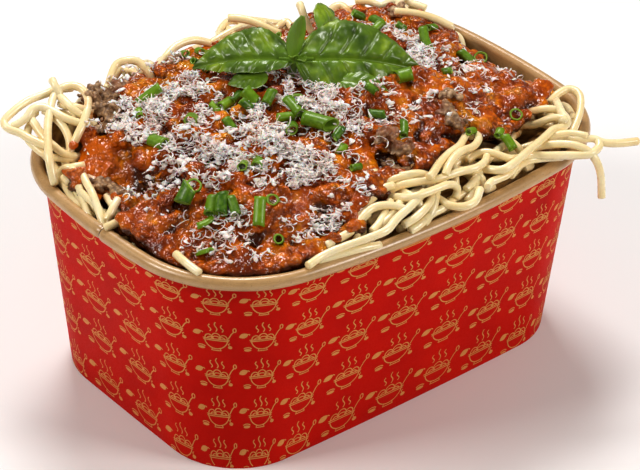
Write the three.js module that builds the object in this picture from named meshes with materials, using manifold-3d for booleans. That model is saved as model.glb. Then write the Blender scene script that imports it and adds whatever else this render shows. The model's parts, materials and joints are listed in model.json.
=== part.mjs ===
// Spaghetti bolognese in a rectangular paper food bowl.
// Millimetres, +Z up. The origin is on the surface the bowl stands on, under the centre of the bowl.
// +X runs along the bowl's long side. The bowl is a tapered paper tub with a rolled rim and a recessed base.
// It holds a heap of spaghetti, a lumpy layer of meat sauce on the heap, and a sprig of basil with one loose leaf.
import * as THREE from "three";
import { mergeVertices } from "three/addons/utils/BufferGeometryUtils.js";
import Module from "manifold-3d";

const wasm = await Module();
wasm.setup();

// ---- bowl sizes ----
const HEIGHT = 75.7; // base ring to the top of the rolled rim
const RIM_HALF_X = 86.0, RIM_HALF_Y = 63.2; // outside of the rolled rim, at the middle of each side
const RIM_CORNER = 40.0; // corner radius of the rim
const RIM_BULGE_X = 0.9, RIM_BULGE_Y = 3.2; // how far the filled bowl's sides bow out
const BASE_HALF_X = 73.3, BASE_HALF_Y = 48.8; // outside of the wall at the base
const BASE_CORNER = 25.0;
const BASE_BULGE_X = 0.1, BASE_BULGE_Y = 0.65;
const BEAD_R = 2.1; // radius of the rolled rim
const PAPER = 0.6; // wall thickness
const RECESS = 6.0; // the base disc sits this far above the standing ring
const DISC = 0.9; // base disc thickness
const SKIRT = 0.7; // the base disc's turned-down edge, inside the wall
const GAP = 0.35; // clearance between touching solids
const ROW_Z = HEIGHT - BEAD_R; // height of the bead's centre

// ---- food sizes ----
const SUMMIT = 93.5; // top of the sauce in the middle of the heap
const EDGE = 77.0; // usual height of the food where it meets the wall
const SAUCE_DEPTH = 9.0; // thickness of the sauce in the middle
const SAUCE_LIP = 2.6; // thickness of the sauce at its edge
const SAUCE_REACH = 0.93; // share of the way to the wall that the sauce covers
const LUMP = 1.5; // height of the lumps in the sauce
const STRAND = 2.6; // diameter of a cooked strand

// ---- sampling ----
const SIDE_N = 7, CORNER_N = 7; // points per side and per corner of every outline
const SAUCE_RINGS = 10, BARE_RINGS = 5;

// A rounded rectangle with bowed sides, as points with outward normals, in a fixed order.
function outline(halfX, halfY, corner, bulgeX, bulgeY) {
  const cx = halfX - corner - bulgeX, cy = halfY - corner - bulgeY;
  const side = (alongY, sign) => {
    const out = [];
    for (let i = 0; i < SIDE_N; i++) {
      const s = (-1 + (2 * i) / (SIDE_N - 1)) * sign;
      const p = alongY
        ? new THREE.Vector2(sign * (halfX - corner - bulgeX * s * s), cy * s)
        : new THREE.Vector2(-cx * s, sign * (halfY - corner - bulgeY * s * s));
      const n = alongY
        ? new THREE.Vector2(sign, (2 * bulgeX * s) / cy)
        : new THREE.Vector2((-2 * bulgeY * s) / cx, sign);
      out.push({ p, n: n.normalize() });
    }
    return out;
  };
  const sides = [side(true, 1), side(false, 1), side(true, -1), side(false, -1)];
  const pts = [];
  sides.forEach((now, k) => {
    const next = sides[(k + 1) % 4];
    for (const { p, n } of now) pts.push({ p: p.clone().addScaledVector(n, corner), n });
    const last = now[SIDE_N - 1];
    const a0 = last.n.angle();
    let turn = next[0].n.angle() - a0;
    while (turn < 0) turn += 2 * Math.PI;
    for (let i = 1; i <= CORNER_N; i++) {
      const a = a0 + (turn * i) / (CORNER_N + 1);
      const n = new THREE.Vector2(Math.cos(a), Math.sin(a));
      pts.push({ p: last.p.clone().addScaledVector(n, corner), n });
    }
  });
  return pts;
}
const rim = outline(RIM_HALF_X, RIM_HALF_Y, RIM_CORNER, RIM_BULGE_X, RIM_BULGE_Y);
const base = outline(BASE_HALF_X, BASE_HALF_Y, BASE_CORNER, BASE_BULGE_X, BASE_BULGE_Y);
const N = rim.length;

// A point of the wall at height z. outward is measured from the wall's outer face.
const TOP_INSET = 2 * BEAD_R - PAPER;
function wall(j, z, outward) {
  const t = z / ROW_Z, a = base[j], b = rim[j];
  const x = THREE.MathUtils.lerp(a.p.x, b.p.x - b.n.x * TOP_INSET, t) + b.n.x * outward;
  const y = THREE.MathUtils.lerp(a.p.y, b.p.y - b.n.y * TOP_INSET, t) + b.n.y * outward;
  return new THREE.Vector3(x, y, z);
}

// Rings of N points, joined in order. Each end is closed with a fan, or the last ring joins the first.
function shell(rings, ends) {
  const pos = [], idx = [];
  for (const r of rings) for (const p of r) pos.push(p.x, p.y, p.z);
  const joins = ends ? rings.length - 1 : rings.length;
  for (let k = 0; k < joins; k++) {
    const a = k * N, b = ((k + 1) % rings.length) * N;
    for (let j = 0; j < N; j++) {
      const i = (j + 1) % N;
      idx.push(a + j, a + i, b + j, a + i, b + i, b + j);
    }
  }
  if (ends) {
    ends.forEach((c, e) => {
      const at = pos.length / 3, ring = e ? (rings.length - 1) * N : 0;
      pos.push(c.x, c.y, c.z);
      for (let j = 0; j < N; j++) {
        const i = (j + 1) % N;
        if (e) idx.push(ring + j, ring + i, at);
        else idx.push(ring + i, ring + j, at);
      }
    });
  }
  const g = new THREE.BufferGeometry();
  g.setAttribute("position", new THREE.BufferAttribute(new Float32Array(pos), 3));
  g.setIndex(idx);
  return g;
}

function toSolid(geometry) {
  const g = geometry.clone();
  g.deleteAttribute("normal");
  g.deleteAttribute("uv");
  const m = mergeVertices(g, 1e-4);
  return new wasm.Manifold(new wasm.Mesh({
    numProp: 3, vertProperties: m.attributes.position.array, triVerts: new Uint32Array(m.index.array),
  }));
}
function toGeometry(solid) {
  const m = solid.getMesh(), n = m.numProp, v = new Float32Array(m.numVert * 3);
  for (let i = 0; i < m.numVert; i++) v.set(m.vertProperties.subarray(i * n, i * n + 3), i * 3);
  const g = new THREE.BufferGeometry();
  g.setAttribute("position", new THREE.BufferAttribute(v, 3));
  g.setIndex(new THREE.BufferAttribute(new Uint32Array(m.triVerts), 1));
  g.computeVertexNormals();
  return g;
}

// ---- the paper bowl: outer wall, rolled rim, inner wall, base disc and standing ring in one section ----
function bowl(grow) {
  const ring = (z, outward) => rim.map((_, j) => wall(j, z, outward));
  const r = BEAD_R + grow, centre = BEAD_R - PAPER; // bead centre, outward of the wall's outer face
  const start = Math.PI + Math.acos(Math.min(1, (centre - grow) / r)); // where the wall's outer face meets the bead
  const rings = [ring(-grow, grow)];
  const steps = 12;
  for (let i = 0; i <= steps; i++) {
    const a = start + ((3 * Math.PI - start) * i) / steps;
    rings.push(rim.map((_, j) => {
      const p = wall(j, ROW_Z, centre + r * Math.cos(a));
      p.z = ROW_Z + r * Math.sin(a);
      return p;
    }));
  }
  rings.push(ring(RECESS + DISC + grow, -PAPER - grow));
  const floor = new THREE.Vector3(0, 0, RECESS + DISC + grow), under = new THREE.Vector3(0, 0, RECESS - grow);
  if (grow > 0) { // for clearance only: no recess below
    return shell(rings, [new THREE.Vector3(0, 0, -grow), floor]);
  }
  rings.unshift(ring(RECESS, -PAPER - SKIRT), ring(0, -PAPER - SKIRT));
  return shell(rings, [under, floor]);
}

// ---- the heap ----
const TAU = 2 * Math.PI;
const rad = THREE.MathUtils.degToRad;
// A smooth bump round the heap: 1 in direction at, 0 beyond width, in degrees.
function bump(angle, at, width) {
  let d = Math.abs(angle - rad(at)) % TAU;
  if (d > Math.PI) d = TAU - d;
  const t = Math.max(0, 1 - d / rad(width));
  return t * t * (3 - 2 * t);
}
const reach = (a) => SAUCE_REACH - 0.07 * bump(a, 147, 22) - 0.04 * bump(a, 182, 24) - 0.15 * bump(a, 280, 58)
  - 0.08 * bump(a, 304, 20) - 0.07 * bump(a, 326, 18) + 0.04 * bump(a, 346, 16) + 0.03 * bump(a, 215, 24)
  + 0.012 * Math.sin(11 * a) + 0.01 * Math.sin(17 * a + 1);
const edgeZ = (a) => EDGE + 4 * bump(a, 62, 56) + 6 * bump(a, 122, 50) + 2.5 * bump(a, 28, 22) - 4 * bump(a, 205, 42)
  - 13 * bump(a, 356, 30) + 0.5 * Math.sin(9 * a + 2);
const depth = (s) => SAUCE_LIP + (SAUCE_DEPTH - SAUCE_LIP) * Math.pow(1 - s * s, 0.6); // s: 0 in the middle, 1 at the sauce's edge
const lumps = (x, y) => LUMP * (0.5 * Math.sin(0.31 * x + 1.7 * Math.sin(0.17 * y)) + 0.5 * Math.sin(0.37 * y + 1.3 * Math.sin(0.21 * x + 2)));

// Polar grid over the bowl's mouth. The ring SAUCE_RINGS is the sauce's edge and the last one meets the wall.
const last = SAUCE_RINGS + BARE_RINGS;
function gridPoint(j, k) {
  const w = wall(j, ROW_Z - 3, -PAPER - GAP);
  const a = (Math.atan2(w.y, w.x) + TAU) % TAU;
  const g = reach(a);
  const rho = k <= SAUCE_RINGS ? (g * k) / SAUCE_RINGS : g + ((1 - g) * (k - SAUCE_RINGS)) / BARE_RINGS;
  const e = edgeZ(a);
  const p = wall(j, Math.min(e, ROW_Z - 3), -PAPER - GAP); // the wall leans out, so a low edge is nearer the centre
  const top = e + (SUMMIT - e) * Math.pow(1 - Math.pow(rho, 2.4), 0.9); // top of the food, sauce included
  const s = Math.min(1, rho / g);
  const under = k > SAUCE_RINGS ? top - SAUCE_LIP * Math.max(0, 1 - (k - SAUCE_RINGS) / 2) : top - depth(s);
  return { x: p.x * rho, y: p.y * rho, top: top + (k <= SAUCE_RINGS ? lumps(p.x * rho, p.y * rho) * (1 - 0.7 * s) : 0), under: Math.min(under, k >= last ? e : 1e9) };
}
const grid = Array.from({ length: last + 1 }, (_, k) => rim.map((_, j) => gridPoint(j, k)));

// Spaghetti: fills the bowl, its top follows the sauce's underside, then comes up bare round the edge.
function heapCore() {
  const rings = [];
  rings.push(rim.map((_, j) => wall(j, RECESS + DISC + GAP, -PAPER - GAP)));
  rings.push(rim.map((_, j) => wall(j, 0.5 * ROW_Z, -PAPER - GAP)));
  for (let k = last; k >= 1; k--) {
    rings.push(grid[k].map((q, j) => new THREE.Vector3(q.x, q.y, q.under)));
  }
  return shell(rings, [new THREE.Vector3(0, 0, RECESS + DISC + GAP), new THREE.Vector3(0, 0, grid[0][0].under)]);
}
// Meat sauce: from the heap's top to its own lumpy top. grow pads it for clearance.
function sauce(grow) {
  const rings = [];
  const low = (k) => grid[k].map((q) => new THREE.Vector3(q.x, q.y, q.under + GAP - (grow ? 0.25 : 0)));
  const high = (k) => grid[k].map((q) => new THREE.Vector3(q.x, q.y, q.top + grow));
  for (let k = 1; k <= SAUCE_RINGS; k++) rings.push(low(k));
  const edge = grid[SAUCE_RINGS].map((q) => { // rounded lip
    const f = 1 + (0.9 + grow) / Math.hypot(q.x, q.y);
    return new THREE.Vector3(q.x * f, q.y * f, 0.5 * (q.under + GAP + q.top));
  });
  rings.push(edge);
  for (let k = SAUCE_RINGS; k >= 1; k--) rings.push(high(k));
  const c = grid[0][0];
  return shell(rings, [new THREE.Vector3(0, 0, c.under + GAP - (grow ? 0.25 : 0)), new THREE.Vector3(0, 0, c.top + grow)]);
}

// A bundle of strands that hangs over the rim: a flattened tube through the given points, thin at its ends.
function bundle(points, wide, high) {
  const curve = new THREE.CatmullRomCurve3(points.map((p) => new THREE.Vector3(...p)));
  const rings = [], steps = 10, around = 12;
  const pos = [], idx = [];
  for (let i = 0; i <= steps; i++) {
    const t = i / steps, c = curve.getPoint(t), d = curve.getTangent(t).setZ(0).normalize();
    const sideways = new THREE.Vector3(-d.y, d.x, 0);
    const k = Math.sqrt(Math.max(0.12, 1 - Math.pow(2 * t - 1, 4)));
    for (let m = 0; m < around; m++) {
      const a = (TAU * m) / around;
      const p = c.clone().addScaledVector(sideways, 0.5 * wide * k * Math.cos(a));
      p.z += 0.5 * high * k * Math.sin(a);
      pos.push(p.x, p.y, p.z);
    }
  }
  for (let i = 0; i < steps; i++) for (let m = 0; m < around; m++) {
    const n = (m + 1) % around, a = i * around, b = a + around;
    idx.push(a + m, a + n, b + m, a + n, b + n, b + m);
  }
  [0, steps].forEach((i, e) => {
    const c = curve.getPoint(i / steps), at = pos.length / 3;
    pos.push(c.x, c.y, c.z);
    for (let m = 0; m < around; m++) {
      const n = (m + 1) % around, a = i * around;
      if (e) idx.push(a + m, a + n, at);
      else idx.push(a + n, a + m, at);
    }
  });
  const g = new THREE.BufferGeometry();
  g.setAttribute("position", new THREE.BufferAttribute(new Float32Array(pos), 3));
  g.setIndex(idx);
  let s = toSolid(g);
  if (s.volume() < 0) {
    for (let i = 0; i < idx.length; i += 3) [idx[i + 1], idx[i + 2]] = [idx[i + 2], idx[i + 1]];
    g.setIndex(idx);
    s = toSolid(g);
  }
  return s;
}

// ---- basil ----
// A leaf is a thin curved sheet. u runs from its base to its tip and v across it.
const LEAF_T = 0.6;
function leafShape(u) { // half width, as a share of the greatest
  return Math.pow(Math.sin(Math.PI * Math.pow(u, 0.78)), 0.85) * (1 - 0.12 * u);
}
function leaf({ at, along, across, length, width, arch, droop, cup }) {
  const A = new THREE.Vector3(...along).normalize();
  const B = new THREE.Vector3(...across);
  B.addScaledVector(A, -B.dot(A)).normalize();
  const up = new THREE.Vector3().crossVectors(A, B);
  if (up.z < 0) up.negate();
  const nu = 12, nv = 6, pos = [], idx = [];
  const point = (i, m, top) => {
    const u = 0.02 + (0.96 * i) / nu, v = -1 + (2 * m) / nv;
    const h = 0.5 * width * leafShape(u);
    const lift = arch * Math.sin(Math.PI * u) - droop * u * u + cup * (v * v) * (h / (0.5 * width));
    return new THREE.Vector3(...at).addScaledVector(A, u * length).addScaledVector(B, v * Math.max(h, 0.7))
      .addScaledVector(up, lift + (top ? LEAF_T / 2 : -LEAF_T / 2));
  };
  const index = (i, m, top) => (top ? 0 : (nu + 1) * (nv + 1)) + i * (nv + 1) + m;
  for (const top of [true, false]) for (let i = 0; i <= nu; i++) for (let m = 0; m <= nv; m++) {
    const p = point(i, m, top);
    pos.push(p.x, p.y, p.z);
  }
  const quad = (a, b, c, d) => idx.push(a, b, c, a, c, d);
  for (let i = 0; i < nu; i++) for (let m = 0; m < nv; m++) {
    quad(index(i, m, true), index(i + 1, m, true), index(i + 1, m + 1, true), index(i, m + 1, true));
    quad(index(i, m, false), index(i, m + 1, false), index(i + 1, m + 1, false), index(i + 1, m, false));
  }
  for (let i = 0; i < nu; i++) {
    quad(index(i, 0, true), index(i, 0, false), index(i + 1, 0, false), index(i + 1, 0, true));
    quad(index(i, nv, true), index(i + 1, nv, true), index(i + 1, nv, false), index(i, nv, false));
  }
  for (let m = 0; m < nv; m++) {
    quad(index(0, m, true), index(0, m + 1, true), index(0, m + 1, false), index(0, m, false));
    quad(index(nu, m, true), index(nu, m, false), index(nu, m + 1, false), index(nu, m + 1, true));
  }
  const g = new THREE.BufferGeometry();
  g.setAttribute("position", new THREE.BufferAttribute(new Float32Array(pos), 3));
  g.setIndex(idx);
  let s = toSolid(g);
  if (s.volume() < 0) {
    for (let i = 0; i < idx.length; i += 3) [idx[i + 1], idx[i + 2]] = [idx[i + 2], idx[i + 1]];
    g.setIndex(idx);
    s = toSolid(g);
  }
  return s;
}
const NODE = [-1.5, 8.5, 98.6]; // where the sprig's leaves meet
const sprigParts = [
  leaf({ at: NODE, along: [-0.78, 0.62, -0.04], across: [0.5, 0.62, 0.42], length: 32, width: 22, arch: 2.6, droop: 4.0, cup: -2.0 }),
  leaf({ at: NODE, along: [0.8, -0.6, -0.04], across: [0.45, 0.56, 0.5], length: 40, width: 27, arch: 3.0, droop: 4.5, cup: -2.5 }),
  leaf({ at: NODE, along: [0.1, 0.15, 1.0], across: [0.75, -0.6, 0.0], length: 15, width: 6.5, arch: 1.0, droop: 0.5, cup: 0.6 }),
];
function stem(from, to, r) {
  const a = new THREE.Vector3(...from), b = new THREE.Vector3(...to);
  const g = new THREE.CylinderGeometry(r, r, a.distanceTo(b), 10);
  g.applyQuaternion(new THREE.Quaternion().setFromUnitVectors(new THREE.Vector3(0, 1, 0), b.clone().sub(a).normalize()));
  g.translate((a.x + b.x) / 2, (a.y + b.y) / 2, (a.z + b.z) / 2);
  return toSolid(g);
}
const sprigWhole = sprigParts.reduce((s, p) => s.add(p), stem([NODE[0], NODE[1], NODE[2] - 2.4], [NODE[0], NODE[1], NODE[2] + 1.5], 1.3));
const backLeafWhole = leaf({ at: [21, 22, 97.0], along: [0.75, 0.45, -0.1], across: [-0.2, 0.6, 0.7], length: 24, width: 15, arch: 2.0, droop: 3.5, cup: -1.5 });

// ---- put together ----
const bowlSolid = toSolid(bowl(0));
const bowlClear = toSolid(bowl(GAP));
const sauceSolid = toSolid(sauce(0));
const sauceClear = toSolid(sauce(GAP));
const sprig = sprigWhole.subtract(sauceClear); // where the leaves rest, they follow the sauce
const backLeaf = backLeafWhole.subtract(sauceClear);
const leftBundle = bundle([[-46, 32, 81], [-60, 42, 86.5], [-72, 47, 88], [-81, 48, 86.5]], 15, 9);
const rightBundle = bundle([[40, -34, 79], [52, -46, 81.5], [60, -59, 82], [66, -71, 79.5]], 17, 6.5);
const backBundle = bundle([[9, 44, 82], [15, 56, 81.8], [19, 64, 79.6], [21.5, 71.5, 74.2]], 13, 5.2);
const pastaSolid = toSolid(heapCore()).add(leftBundle).add(rightBundle).add(backBundle).subtract(bowlClear).subtract(sauceClear);

const paint = (hex, roughness) => new THREE.MeshStandardMaterial({ color: hex, roughness, metalness: 0 });
const group = new THREE.Group();
function place(name, solid, material) {
  const whole = solid.decompose().sort((a, b) => b.volume() - a.volume())[0]; // drops slivers left by a cut
  const mesh = new THREE.Mesh(toGeometry(whole), material);
  mesh.name = name;
  group.add(mesh);
}
place("paper_bowl", bowlSolid, paint(0xb31a0c, 0.55));
place("spaghetti", pastaSolid, paint(0xe6d49a, 0.45));
place("meat_sauce", sauceSolid, paint(0x9c3410, 0.35));
place("basil_sprig", sprig, paint(0x2f6a1c, 0.4));
place("basil_leaf", backLeaf, paint(0x2f6a1c, 0.4));

export default group;
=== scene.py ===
import json
import math
import bpy
import numpy as np
from mathutils import Matrix, Vector
from mathutils.bvhtree import BVHTree


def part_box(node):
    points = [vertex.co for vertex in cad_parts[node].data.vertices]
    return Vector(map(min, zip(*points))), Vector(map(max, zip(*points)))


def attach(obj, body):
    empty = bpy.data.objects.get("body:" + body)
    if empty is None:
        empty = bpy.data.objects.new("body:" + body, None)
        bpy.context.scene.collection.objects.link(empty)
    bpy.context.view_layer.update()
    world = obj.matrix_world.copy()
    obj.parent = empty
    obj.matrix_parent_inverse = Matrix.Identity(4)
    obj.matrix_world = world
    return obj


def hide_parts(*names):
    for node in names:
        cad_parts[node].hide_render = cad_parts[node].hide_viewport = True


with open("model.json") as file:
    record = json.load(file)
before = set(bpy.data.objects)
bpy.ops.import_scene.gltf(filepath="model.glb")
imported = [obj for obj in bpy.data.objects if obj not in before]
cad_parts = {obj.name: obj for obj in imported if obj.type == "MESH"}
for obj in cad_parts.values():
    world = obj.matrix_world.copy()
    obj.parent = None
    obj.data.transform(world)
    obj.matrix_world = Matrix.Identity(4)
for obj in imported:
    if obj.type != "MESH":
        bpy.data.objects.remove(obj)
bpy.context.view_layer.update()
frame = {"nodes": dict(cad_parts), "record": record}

MM = 0.001
rng = np.random.default_rng(11)
TAU = 2 * math.pi


# ---------------------------------------------------------------- helpers
def smooth(a, b, x):
    t = np.clip((x - a) / (b - a), 0, 1)
    return t * t * (3 - 2 * t)


def lattice(ix, iy, iz, seed):
    h = (ix * 374761393 + iy * 668265263 + iz * 1442695041 + seed * 974634777) & 0xFFFFFFFF
    h = ((h ^ (h >> 13)) * 1274126177) & 0xFFFFFFFF
    return ((h ^ (h >> 16)) & 0xFFFF) / 32767.5 - 1.0


def noise3(p, size, seed=0):
    """Smooth noise from -1 to 1 at points p, with features of the given size."""
    q = np.asarray(p, float) / size
    i = np.floor(q).astype(np.int64)
    f = q - i
    f = f * f * f * (f * (f * 6 - 15) + 10)
    out = 0
    for dx in (0, 1):
        wx = f[:, 0] if dx else 1 - f[:, 0]
        for dy in (0, 1):
            wy = f[:, 1] if dy else 1 - f[:, 1]
            for dz in (0, 1):
                wz = f[:, 2] if dz else 1 - f[:, 2]
                out = out + wx * wy * wz * lattice(i[:, 0] + dx, i[:, 1] + dy, i[:, 2] + dz, seed)
    return out


def make_mesh(name, verts_mm, faces, mat, flat=False, attrs=None):
    """A mesh object from vertices in millimetres and arrays of faces with 3 or 4 corners."""
    v = np.asarray(verts_mm, np.float32) * MM
    faces = [np.asarray(f, np.int32) for f in (faces if isinstance(faces, list) else [faces]) if len(f)]
    me = bpy.data.meshes.new(name)
    me.vertices.add(len(v))
    me.vertices.foreach_set("co", v.ravel())
    total = sum(f.size for f in faces)
    me.loops.add(total)
    me.loops.foreach_set("vertex_index", np.concatenate([f.ravel() for f in faces]))
    counts = np.concatenate([np.full(len(f), f.shape[1]) for f in faces])
    me.polygons.add(len(counts))
    starts = np.concatenate([[0], np.cumsum(counts)[:-1]]).astype(np.int32)
    me.polygons.foreach_set("loop_start", starts)
    me.update(calc_edges=True)
    me.validate()
    if not flat:
        me.polygons.foreach_set("use_smooth", np.ones(len(me.polygons), bool))
    for key, values in (attrs or {}).items():
        a = me.attributes.new(key, "FLOAT", "POINT")
        a.data.foreach_set("value", np.asarray(values, np.float32))
    me.materials.append(mat)
    o = bpy.data.objects.new(name, me)
    bpy.context.scene.collection.objects.link(o)
    return o


class Batch:
    """Gathers many small meshes into one object."""

    def __init__(self):
        self.v, self.f3, self.f4, self.n, self.a = [], [], [], 0, {}

    def add(self, v, f3=None, f4=None, **attrs):
        v = np.asarray(v, float)
        self.v.append(v)
        if f3 is not None and len(f3):
            self.f3.append(np.asarray(f3) + self.n)
        if f4 is not None and len(f4):
            self.f4.append(np.asarray(f4) + self.n)
        for k, val in attrs.items():
            self.a.setdefault(k, []).append(np.broadcast_to(np.asarray(val, float), (len(v),)))
        self.n += len(v)

    def build(self, name, mat, flat=False):
        faces = []
        if self.f4:
            faces.append(np.concatenate(self.f4))
        if self.f3:
            faces.append(np.concatenate(self.f3))
        return make_mesh(name, np.concatenate(self.v), faces, mat, flat,
                         {k: np.concatenate(x) for k, x in self.a.items()})


def put(obj, slot_name, *nodes):
    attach(obj, "root")
    if nodes:
        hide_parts(*nodes)
    return obj


# ---------------------------------------------------------------- materials
def material(name, color, rough, **more):
    m = bpy.data.materials.new(name)
    m.use_nodes = True
    nt = m.node_tree
    b = nt.nodes["Principled BSDF"]
    b.inputs["Base Color"].default_value = (*color, 1)
    b.inputs["Roughness"].default_value = rough
    for k, val in more.items():
        b.inputs[k.replace("_", " ")].default_value = val
    return m, nt, b


def node(nt, kind, **props):
    n = nt.nodes.new(kind)
    for k, val in props.items():
        setattr(n, k, val)
    return n


def coords(nt, scale=(1, 1, 1)):
    c = node(nt, "ShaderNodeTexCoord")
    mp = node(nt, "ShaderNodeMapping")
    mp.inputs["Scale"].default_value = scale
    nt.links.new(c.outputs["Object"], mp.inputs["Vector"])
    return mp.outputs["Vector"]


def noise(nt, vec, scale, detail=3.0, rough=0.55, distortion=0.0):
    n = node(nt, "ShaderNodeTexNoise")
    n.inputs["Scale"].default_value = scale
    n.inputs["Detail"].default_value = detail
    n.inputs["Roughness"].default_value = rough
    n.inputs["Distortion"].default_value = distortion
    nt.links.new(vec, n.inputs["Vector"])
    return n.outputs["Fac"]


def ramp(nt, fac, stops):
    r = node(nt, "ShaderNodeValToRGB")
    e = r.color_ramp.elements
    while len(e) < len(stops):
        e.new(0.5)
    for el, (pos, col) in zip(e, stops):
        el.position = pos
        el.color = (*col, 1)
    nt.links.new(fac, r.inputs["Fac"])
    return r.outputs["Color"]


def span(nt, fac, a, b, lo, hi):
    r = node(nt, "ShaderNodeMapRange")
    r.inputs["From Min"].default_value = a
    r.inputs["From Max"].default_value = b
    r.inputs["To Min"].default_value = lo
    r.inputs["To Max"].default_value = hi
    nt.links.new(fac, r.inputs["Value"])
    return r.outputs["Result"]


def mix(nt, fac, c1, c2, kind="MIX"):
    n = node(nt, "ShaderNodeMix", data_type="RGBA", blend_type=kind)
    if hasattr(fac, "default_value") or hasattr(fac, "links"):
        nt.links.new(fac, n.inputs[0])
    else:
        n.inputs[0].default_value = fac
    for sock, c in ((n.inputs[6], c1), (n.inputs[7], c2)):
        if isinstance(c, tuple):
            sock.default_value = (*c, 1)
        else:
            nt.links.new(c, sock)
    return n.outputs[2]


def bump(nt, height, strength, distance_mm, normal=None):
    n = node(nt, "ShaderNodeBump")
    n.inputs["Strength"].default_value = strength
    n.inputs["Distance"].default_value = distance_mm * MM
    nt.links.new(height, n.inputs["Height"])
    if normal is not None:
        nt.links.new(normal, n.inputs["Normal"])
    return n.outputs["Normal"]


def grains(nt, vec, scale, warp=0.35):
    """Distance to the nearest grain centre, 0 on a grain to about 0.7 between grains."""
    n = node(nt, "ShaderNodeTexVoronoi", feature="SMOOTH_F1")
    n.inputs["Scale"].default_value = scale
    n.inputs["Smoothness"].default_value = warp
    nt.links.new(vec, n.inputs["Vector"])
    return n.outputs["Distance"]


def warped(nt, vec, scale, amount):
    """Coordinates pushed about by noise, so that grains aren't regular."""
    n = node(nt, "ShaderNodeTexNoise")
    n.inputs["Scale"].default_value = scale
    n.inputs["Detail"].default_value = 2
    nt.links.new(vec, n.inputs["Vector"])
    m = node(nt, "ShaderNodeVectorMath", operation="MULTIPLY_ADD")
    nt.links.new(n.outputs["Color"], m.inputs[0])
    m.inputs[1].default_value = (amount, amount, amount)
    nt.links.new(vec, m.inputs[2])
    return m.outputs[0]


def times(nt, a, b):
    n = node(nt, "ShaderNodeMath", operation="MULTIPLY")
    nt.links.new(a, n.inputs[0])
    nt.links.new(b, n.inputs[1])
    return n.outputs[0]


def attribute(nt, name):
    n = node(nt, "ShaderNodeAttribute", attribute_name=name)
    return n.outputs["Fac"]


def srgb(r, g, b):
    f = lambda c: c / 12.92 if c <= 0.04045 else ((c + 0.055) / 1.055) ** 2.4
    return (f(r / 255), f(g / 255), f(b / 255))


def red_print():
    m, nt, b = material("red_print_paper", srgb(196, 24, 8), 0.5, Specular_IOR_Level=0.06)
    v = coords(nt)
    broad = noise(nt, v, 55, 3)
    col = ramp(nt, broad, [(0.3, srgb(186, 12, 0)), (0.7, srgb(202, 20, 0))])
    fine = noise(nt, v, 1800, 2)
    nt.links.new(mix(nt, span(nt, fine, 0.45, 0.75, 0.0, 0.16), col, srgb(160, 10, 4)), b.inputs["Base Color"])
    nt.links.new(span(nt, fine, 0.3, 0.7, 0.44, 0.6), b.inputs["Roughness"])
    nt.links.new(bump(nt, noise(nt, v, 900, 3), 0.25, 0.04), b.inputs["Normal"])
    return m


def kraft(name, a, c, rough, coat, seam=None):
    m, nt, b = material(name, a, rough, Coat_Weight=coat, Coat_Roughness=0.25)
    fib = coords(nt, (1.0, 1.0, 6.0))
    v = coords(nt)
    f1 = noise(nt, fib, 420, 5, 0.7, 0.4)
    f2 = noise(nt, v, 95, 3)
    col = ramp(nt, f2, [(0.25, a), (0.75, c)])
    col = mix(nt, span(nt, f1, 0.42, 0.72, 0.0, 0.45), col, tuple(x * 0.62 for x in a))
    speck = noise(nt, v, 1500, 1)
    col = mix(nt, span(nt, speck, 0.66, 0.8, 0.0, 0.5), col, tuple(x * 0.4 for x in a))
    if seam is not None:  # dark joint line where the rolled rim overlaps itself
        sep = node(nt, "ShaderNodeSeparateXYZ")
        nt.links.new(v, sep.inputs[0])
        off = node(nt, "ShaderNodeMath", operation="SUBTRACT")
        nt.links.new(sep.outputs["Y"], off.inputs[0])
        off.inputs[1].default_value = seam
        away = node(nt, "ShaderNodeMath", operation="ABSOLUTE")
        nt.links.new(off.outputs[0], away.inputs[0])
        line = times(nt, span(nt, away.outputs[0], 0.0003, 0.0005, 0.96, 0.0), span(nt, sep.outputs["X"], -0.074, -0.072, 1.0, 0.0))
        line = times(nt, line, span(nt, sep.outputs["Z"], 0.0700, 0.0706, 0.0, 1.0))
        col = mix(nt, line, col, srgb(46, 30, 16))
    nt.links.new(col, b.inputs["Base Color"])
    nt.links.new(span(nt, f1, 0.3, 0.7, rough - 0.08, rough + 0.12), b.inputs["Roughness"])
    nt.links.new(bump(nt, f1, 0.3, 0.08), b.inputs["Normal"])
    return m


def pasta_material():
    m, nt, b = material("cooked_spaghetti", srgb(232, 212, 150), 0.27, Subsurface_Weight=0.15,
                        Subsurface_Scale=0.0010, Specular_IOR_Level=0.5, Coat_Weight=0.3, Coat_Roughness=0.12)
    b.inputs["Subsurface Radius"].default_value = (1.0, 0.62, 0.28)
    v = coords(nt)
    base = ramp(nt, noise(nt, v, 60, 3), [(0.3, srgb(236, 209, 150)), (0.52, srgb(246, 226, 176)), (0.75, srgb(250, 236, 200))])
    # sauce oil stains where the strands meet the sauce
    stain = attribute(nt, "stain")
    spots = noise(nt, v, 260, 3, 0.6)
    mask = node(nt, "ShaderNodeMath", operation="MULTIPLY")
    nt.links.new(stain, mask.inputs[0])
    nt.links.new(span(nt, spots, 0.35, 0.6, 0.15, 1.0), mask.inputs[1])
    col = mix(nt, mask.outputs[0], base, srgb(206, 128, 46))
    nt.links.new(col, b.inputs["Base Color"])
    nt.links.new(span(nt, noise(nt, v, 500, 2), 0.3, 0.7, 0.2, 0.38), b.inputs["Roughness"])
    nt.links.new(bump(nt, noise(nt, v, 1100, 3), 0.16, 0.06), b.inputs["Normal"])
    return m


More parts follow.
